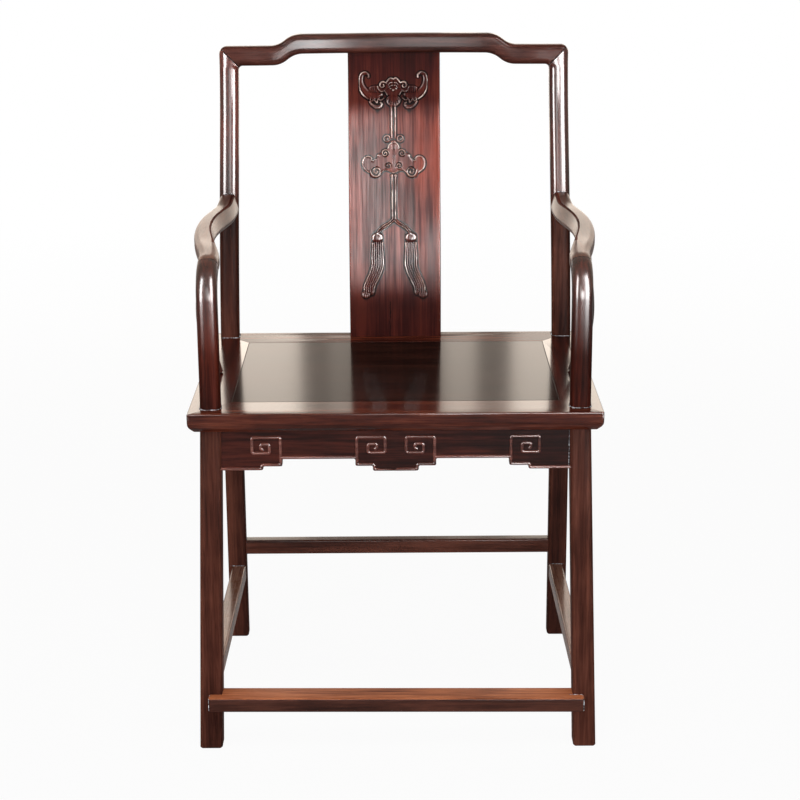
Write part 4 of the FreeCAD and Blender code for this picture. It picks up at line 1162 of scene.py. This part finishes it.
def rosewood(name, along, tones, dull=0.28, worn=0.0, silk=1.0, coat=0.5, carved=False, shine_from=None,
             above=None, ior=1.12, rim=None, haze=0.13, fine_grain=1.0, shine_along=None, streaky=0.5):
    """Old lacquered rosewood with its grain along one direction.

    dull is how rough the lacquer is, worn how far it has gone, silk how much the grain stands out in it, coat how
    much of its shine is left and haze how soft that is. The shine grows between the two heights of shine_from, or
    between the two distances from the middle of shine_along. above is a height and the tones from there up. rim
    is a board's box, whose edge keeps a dark joint line. fine_grain makes the grain finer and streaky is how much
    its streaks show.
    """
    finish = finish_named(name)
    place = finish.place()
    grain = finish.node("Mapping", None, {"Vector": place, "Scale": GRAIN[along]})
    figure = finish.noise(grain, FIGURE_SCALE * fine_grain, 4, 0.55, 0.6 / fine_grain)
    streak = finish.noise(grain, STREAK_SCALE * fine_grain, 5 / fine_grain, 0.65, 0.2 / fine_grain)
    pores = finish.noise(grain, PORE_SCALE, 2)
    cloud = finish.noise(place, CLOUD_SCALE, 3, 0.55)
    fine = finish.noise(place, FINE_SCALE, 4, 0.65)
    tone = figure * 0.45 + streak * streaky + cloud * (0.8 - streaky)
    colour = finish.ramp(tone, zip(TONE_STOPS, tones))
    height = finish.axis(place, "Z")
    if above:
        start, upper_tones = above
        upper = finish.ramp(tone, zip(TONE_STOPS, upper_tones))
        colour = finish.blend(finish.step(height + cloud * CLOUD_SHIFT, start - 0.01, start + 0.04), colour, upper)
    pore = finish.step(pores, 0.60, 0.72)
    colour = finish.blend(pore * 0.5, colour, PORE_DARK, "MULTIPLY")
    rough = streak * 0.10 + fine * 0.06 + pore * 0.08
    shine = coat
    if shine_from:
        shine = finish.step(height, *shine_from) * coat
    if shine_along:
        from_middle = abs(finish.axis(place, "X"))
        shine = (finish.step(from_middle + cloud * CLOUD_SHIFT, *shine_along) * 0.88 + 0.12) * coat
    if rim:
        colour, rough = joint_rim(finish, place, rim, colour, rough)
    if worn:
        colour, rough = bare_patches(finish, place, cloud, worn, tones[3], colour, rough)
    if carved:
        colour, rough, shine = carving_wear(finish, place, height, cloud, streak, tones, coat, colour, rough)
    bump = finish.node("Bump", None, {"Strength": 0.16 * silk, "Distance": BUMP_HEIGHT,
                                      "Height": streak * 0.8 + pores * 0.35 + fine * 0.10})
    rough = rough * min(1.0, dull * 4) + dull * 0.7
    wood = finish.node("BsdfPrincipled", None, {"Base Color": colour, "Roughness": rough, "Normal": bump, "IOR": ior,
                                                "Coat Weight": shine, "Coat Roughness": haze, "Coat IOR": COAT_IOR})
    return finish.surface(wood)


def residue(name, colour, roughness, dark=0.5):
    """Dirt or old wax in a joint, in specks; dark is how dark it goes between them."""
    finish = finish_named(name)
    speck = finish.noise(finish.place(), 300, 3)
    shade = finish.ramp(speck, [(0.42, tuple(c * dark for c in colour)), (0.60, colour)])
    dirt = finish.node("BsdfPrincipled", None, {"Base Color": shade, "Roughness": roughness, "IOR": 1.2})
    return finish.surface(dirt)


# The fourth tone of RED lightens the carving's raised heights: wear and a painted highlight.
REDDISH = tone_set((21, 8, 6), (54, 21, 15), (90, 36, 25))
DEEP = tone_set((20, 8, 7), (50, 19, 14), (84, 34, 25))
RED = tone_set((30, 9, 8), (88, 30, 23), (146, 62, 46), (212, 178, 164))
SEAT = tone_set((14, 8, 7), (30, 17, 13), (50, 28, 21))
RAIL = tone_set((30, 12, 9), (72, 30, 20), (112, 56, 38), (160, 108, 80))
BROWN = tone_set((38, 18, 14), (68, 36, 28), (98, 56, 44))
CREST = tone_set((36, 17, 14), (64, 33, 27), (90, 50, 42))
FOOTWORN = tone_set((80, 36, 22), (162, 92, 58), (200, 122, 80), (216, 156, 118))
FOOTFRONT = tone_set((32, 15, 12), (56, 29, 22), (82, 46, 36))
# Lighter than the frame's own brown: the arms' colour lifted by a painted highlight.
ARM_HIGHLIT = tone_set((56, 30, 23), (88, 55, 44), (116, 76, 60))
APRON = tone_set((17, 7, 6), (42, 16, 12), (72, 30, 22))
# The bead's tones are lighter than the apron board's: a painted highlight on the raised bead.
BEAD_HIGHLIT = tone_set((52, 24, 19), (94, 48, 39), (136, 82, 70))
POST_RED = tone_set((34, 13, 11), (74, 30, 24), (116, 54, 43))
# Lighter than the frame's own brown, for the side stretchers: a painted sheen where their faces are seen at a
# glancing angle.
PALE_SHEEN = tone_set((62, 36, 28), (118, 80, 64), (154, 112, 94))
ARRIS = tone_set((40, 14, 11), (74, 32, 25), (110, 58, 46))
BARE = tone_set((78, 50, 34), (112, 76, 52), (142, 102, 72), (170, 130, 96))

front_finish = rosewood("front leg wood", "z", BROWN, 0.5, silk=0.4, coat=1.0, shine_from=(0.585, 0.69),
                        above=(0.5, REDDISH), haze=0.22, ior=1.06, fine_grain=1.5, streaky=0.36)
back_finish = rosewood("back leg wood", "z", BROWN, 0.5, silk=0.4, coat=1.0, shine_from=(0.70, 0.78),
                       above=(0.74, POST_RED), haze=0.17, ior=1.07, fine_grain=1.5, streaky=0.36)
brace_finish = rosewood("brace wood", "z", DEEP, coat=0.3)
frame_across = rosewood("frame wood across", "x", BROWN, coat=0.15)
# The side stretchers' lighter tones are a painted sheen.
frame_back_sheen = rosewood("frame wood front to back", "y", PALE_SHEEN, coat=0.4)
crest_finish = rosewood("crest rail wood", "x", CREST, 0.4, coat=0.35, ior=1.07, shine_along=(0.225, 0.12))
arm_finish = rosewood("arm wood", "y", ARM_HIGHLIT, 0.36, silk=0.4, coat=0.2, ior=1.2, haze=0.3)
arris_finish = rosewood("worn arris", "y", ARRIS, 0.5, silk=0.5, coat=0.0, ior=1.05)
rail_across = rosewood("seat rail wood across", "x", RAIL, 0.13, silk=0.2, coat=0.1, ior=1.24)
rail_rear = rosewood("seat back rail wood", "x", RAIL, 0.15, silk=0.2, coat=0.0, ior=1.11)
rail_back = rosewood("seat rail wood front to back", "y", DEEP, 0.13, silk=0.2, coat=0.3, ior=1.2)
worn_across = rosewood("worn edge across", "x", RAIL, 0.34, 0.5)
worn_back = rosewood("worn edge front to back", "y", RAIL, 0.34, 0.5)
seat_finish = rosewood("seat panel wood", "x", SEAT, 0.13, silk=0.12, coat=0.0, ior=1.14,
                       rim=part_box("seat_panel"))
foot_finish = rosewood("foot rail wood", "x", FOOTFRONT, 0.5, coat=0.05)
foot_worn = rosewood("foot rail top", "x", FOOTWORN, 0.4, 0.35, silk=0.8, coat=0.0)
carved_finish = rosewood("carved splat wood", "long z", RED, 0.28, silk=1.2, coat=1.0, carved=True, ior=1.06,
                         fine_grain=1.6, streaky=0.3)
apron_finish = rosewood("apron wood", "x", APRON, 0.32, coat=0.1)
bead_finish = rosewood("apron bead wood", "x", BEAD_HIGHLIT, 0.30, coat=0.8)
apron_side_finish = rosewood("side apron wood", "y", DEEP, 0.34, coat=0.1)
batten_finish = rosewood("planed batten wood", "y", BARE, 0.6, 0.3)
joint_finish = residue("joint line", rgb(30, 14, 12), 0.7)
wax_finish = residue("old wax", rgb(206, 208, 214), 0.6, 0.06)


# The chair put together

def place(piece, finishes, slot, *replaced):
    """Gives a piece its finishes, puts it on the chair's body and hides the nodes it stands for; slot is not used."""
    if piece.data.materials:
        piece.data.materials.clear()
    for finish in finishes:
        piece.data.materials.append(finish)
    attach(piece, "root")
    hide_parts(*replaced)


def place_pair(piece, finishes, slot, node, name=None):
    """Places a piece for a left node, and mirrored for the right one."""
    other = mirrored(piece, name or node + "_right_shown")
    place(piece, finishes, slot, node + "_left")
    place(other, finishes, slot, node + "_right")


def board(node, finish, worn, slot, width=BOARD_EASE):
    """A straight piece of the CAD frame with softened arrises, in a finish with worn edges."""
    piece = eased_copy(node, finish, worn, width)
    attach(piece, "root")
    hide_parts(node)


def board_pair(node, finish, worn, slot):
    for side in ("_left", "_right"):
        board(node + side, finish, worn, slot)


def old_wax(rule):
    """Wax left round the posts' feet, at the rails' ends and where the apron meets the right leg."""
    level, face = SEAT_TOP + WAX_RISE, BACK_LEG_FRONT - WAX_GAP
    half = POST / 2 + WAX_GAP
    post = rounded([(a * half - POST_X, b * half + POST_Y, POST_ROUND) for a, b in SQUARE])
    wax = wax_along(rule, "front_post", [[(x, y, level) for x, y in post]], True)
    place_pair(wax, [wax_finish], "frame_wood", "front_leg", "front_post_wax_right")

    inside = BACK_LEG[0] - BACK_LEG_OUTSIDE
    side = inside + WAX_GAP
    foot = [(3 - BACK_LEG_OUTSIDE, face, level), (inside - 3, face, level), (side, BACK_LEG_FRONT + 3, level),
            (side, BACK_LEG_FRONT + 24, level)]
    joint = ARM_BACK_HEIGHT + ARM_HEIGHT / 2 + ARM_FLARE
    post_face = post_front()(joint) - 0.3
    middle = arm_ends()[1][0]
    over_arm = [(middle + a, post_face + drop, joint - 1.5 * drop) for a, drop in ((-9, 1), (-5, 0), (5, 0), (9, 1))]
    wax = wax_along(rule, "back_post", [foot, over_arm])
    place_pair(wax, [wax_finish], "frame_wood", "back_leg", "back_post_wax_right")

    (low_x, _, _), (high_x, _, top) = (np.array(corner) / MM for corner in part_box("side_stretcher_left"))
    end = [(low_x + 1, face, top + WAX_RISE), (high_x - 1, face, top + WAX_RISE)]
    wax = wax_along(rule, "side_stretcher", [end])
    place_pair(wax, [wax_finish], "frame_wood", "side_stretcher", "side_stretcher_wax_right")

    (left, right), front = FOOT_RAIL_ENDS, FOOT_RAIL_FRONT
    top, under = FOOT_RAIL_TOP, FOOT_RAIL_TOP - FOOT_RAIL_HEIGHT
    right_top, right_under = top - FOOT_RAIL_DROP, under - FOOT_RAIL_DROP
    notch = between(FRONT_FOOT_FRONT, FRONT_LEG_FRONT, under / SEAT_UNDERSIDE)
    left_end = [(left + 1, front, under + 3), (left + 1, front, top - 2), (left + 1.5, notch - 2, top)]
    right_end = [(right - 1, front, right_under + 3), (right - 1, front, right_top - 2),
                 (right - 2, notch, right_top + WAX_RISE), (right - 22, notch, right_top + WAX_RISE)]
    place(wax_along(rule, "foot_rail", [left_end, right_end]), [wax_finish], "frame_wood", "foot_rail")

    leg, rail = FRONT_LEG_OUTSIDE - LEG[0], SEAT_UNDERSIDE
    beside_leg = [(leg - 0.5, APRON_FACE - WAX_RISE, z) for z in (APRON_END + 4, rail - 2)]
    below_rail = [(leg + 2, FRONT_LEG_FRONT - WAX_GAP, rail - 0.5), (leg + 24, FRONT_LEG_FRONT - WAX_GAP, rail - 1)]
    place(wax_along(rule, "front_apron", [beside_leg, below_rail]), [wax_finish], "apron_wood", "front_apron")


def wax_along(rule, name, lines, closed=False):
    curve = drawn_line(name + "_wax", lines, closed)
    return rule.run(curve, radius=WAX_RADII[name] * MM, step=WAX_STEP, material=wax_finish)


place(crest_rail(), [crest_finish, joint_finish], "frame_wood", "crest_rail")
place_pair(back_leg(), [back_finish, joint_finish], "frame_wood", "back_leg")
place_pair(front_leg(), [front_finish], "frame_wood", "front_leg")
place_pair(arm(), [arm_finish, arris_finish, joint_finish], "frame_wood", "arm")
place_pair(arm_brace(turned_rule(), brace_finish), [brace_finish], "frame_wood", "arm_brace")
place(splat(), [carved_finish], "carved_wood", "splat")
place(apron_board(), [apron_finish], "apron_wood", "front_apron")
place(apron_beads(bead_rule(), bead_finish), [bead_finish], "apron_wood", "front_apron")
board("seat_front_rail", rail_across, worn_across, "frame_wood")
board("seat_back_rail", rail_rear, worn_across, "frame_wood")
board_pair("seat_side_rail", rail_back, worn_back, "frame_wood")
board("seat_panel", seat_finish, seat_finish, "panel_wood", PANEL_EASE)
board("back_apron", apron_finish, apron_finish, "apron_wood")
board_pair("side_apron", apron_side_finish, apron_side_finish, "apron_wood")
place(foot_rail(), [foot_finish, foot_worn], "frame_wood", "foot_rail")
board("back_stretcher", frame_across, worn_across, "frame_wood")
board_pair("side_stretcher", frame_back_sheen, worn_back, "frame_wood")
old_wax(wax_rule())
for node in ("panel_batten_left", "panel_batten_right"):
    for slot in nodes[node].material_slots:
        slot.material = batten_finish


# Floor, light and camera

WHITE = (1, 1, 1, 1)
FLOOR_REACH = 14
FLOOR_FADE = (1.2, 4.0)
DIM = 0.18
MIRRORED_TINT = (0.9, 0.78, 0.66, 1)


def floor_material():
    """A pale floor that the camera sees as near white, with the chair's shadow left in it."""
    finish = finish_named("pale floor")
    place = finish.place()
    paint = finish.ramp(finish.noise(place, 3.0, 3), [(0.3, (0.53, 0.53, 0.53)), (0.7, (0.57, 0.57, 0.57))])
    floor = finish.node("BsdfPrincipled", None, {"Base Color": paint, "Roughness": 0.8, "IOR": 1.2})
    seen, mirrored_too, through = finish.rays()
    far = finish.step(finish.node("VectorMath", {"operation": "LENGTH"}, {0: place}, "Value"), *FLOOR_FADE)
    share = (seen + through) * (0.95 + far * 0.05) + mirrored_too * 0.1
    white = finish.node("Emission", None, {"Color": WHITE, "Strength": 1.0})
    return finish.surface(finish.node("MixShader", None, {0: share, 1: floor, 2: white}))


mesh = bpy.data.meshes.new("floor")
mesh.from_pydata([(a * FLOOR_REACH, b * FLOOR_REACH, 0) for a, b in SQUARE], [], [(0, 1, 2, 3)])
floor = in_scene("floor", mesh)
floor.data.materials.append(floor_material())


def studio():
    """A world that the camera and mirrors see as white, and that lights the chair more softly."""
    finish = Finish(bpy.data.worlds.new("studio"))
    seen, mirrored_too, through = finish.rays()
    strength = finish.node("MapRange", None, {"Value": seen + mirrored_too + through, "To Min": DIM, "To Max": 1.0})
    tone = finish.blend(mirrored_too, WHITE, MIRRORED_TINT)
    return finish.surface(finish.node("Background", None, {"Color": tone, "Strength": strength}), "World")


def panel(name, place, target, width, height, glow, tint=(1.0, 1.0, 1.0), lights=True, shines=True):
    """A soft box; glow is how bright its face is, where white is 1. It lights the wood, shines in it or both."""
    lamp = bpy.data.lights.new(name, "AREA")
    lamp.shape = "RECTANGLE"
    lamp.size, lamp.size_y = width, height
    lamp.energy = glow * math.pi * width * height
    lamp.color = tint
    stand = in_scene(name, lamp)
    stand.location = place
    stand.rotation_euler = (Vector(target) - Vector(place)).to_track_quat("-Z", "Y").to_euler()
    stand.visible_camera = False
    stand.visible_diffuse = lights
    stand.visible_glossy = shines


WARM = (1.0, 0.88, 0.76)
STRIP_HEIGHT = 1.5
STRIP_MIDDLE = 1.1
STRIP_AWAY = 3.0
# Strips of light on the backdrop, which the seat and the arms mirror: from, to, how bright
STRIPS = {"left outer strip": (-1.9, -0.95, 1.3), "left arm strip": (-0.95, -0.54, 3.1),
          "left seat strip": (-0.54, -0.31, 4.0), "left inner strip": (-0.22, -0.14, 0.8),
          "right inner strip": (0.14, 0.25, 2.2), "right seat strip": (0.36, 0.54, 3.6),
          "right arm strip": (0.54, 0.95, 3.1), "right outer strip": (0.95, 1.9, 1.2)}
# What stands in front: its place, what it faces, width, height, how bright
BOXES = {"left soft box": ((-2.2, -1.9, 1.3), (0, 0, 0.7), 0.7, 1.2, 6.0),
         "right soft box": ((2.2, -1.9, 1.3), (0, 0, 0.7), 0.5, 1.2, 6.0),
         "front soft box": ((-0.7, -3.5, 1.5), (0, 0.2, 0.75), 1.8, 1.4, 6.5),
         "high soft box": ((0.0, -1.3, 2.7), (0, 0, 0.6), 0.9, 0.6, 14.0)}
CARDS = {"left card": ((-1.63, -1.9, 1.8), (-0.26, 0.2, 1.8), 1.0, 3.2, 36.0),
         "right card": ((1.21, -1.82, 1.8), (-0.1, 0.2, 1.8), 1.2, 3.2, 36.0),
         "front card": ((-0.21, -3.4, 1.35), (-0.1, 0.2, 1.35), 0.46, 2.1, 10.0),
         "low card": ((0.36, -2.6, 0.75), (-0.1, 0.2, 0.95), 0.28, 0.9, 58.0)}
CAMERA_PLACE = (0.00761, -2.73119, 1.27328)
CAMERA_TURN = 0.000455
CAMERA_TILT = 0.2892
CAMERA_ROLL = -0.006664
CAMERA_LENS = 83.986

bpy.context.scene.world = studio()
for name, (left, right, glow) in STRIPS.items():
    middle = (left + right) / 2
    panel(name, (middle, STRIP_AWAY, STRIP_MIDDLE), (middle, 0, STRIP_MIDDLE), right - left, STRIP_HEIGHT, glow,
          WARM)
for name, values in BOXES.items():
    panel(name, *values, shines=False)
for name, values in CARDS.items():
    panel(name, *values, lights=False)

lens = bpy.data.cameras.new("camera")
lens.lens, lens.sensor_width = CAMERA_LENS, 36
lens.clip_end = 100
camera = in_scene("camera", lens)
camera.matrix_world = (Matrix.Translation(CAMERA_PLACE) @ Matrix.Rotation(CAMERA_TURN, 4, "Z")
                       @ Matrix.Rotation(math.pi / 2 - CAMERA_TILT, 4, "X") @ Matrix.Rotation(CAMERA_ROLL, 4, "Z"))
bpy.context.scene.camera = camera
bpy.context.scene.view_settings.view_transform = "Standard"
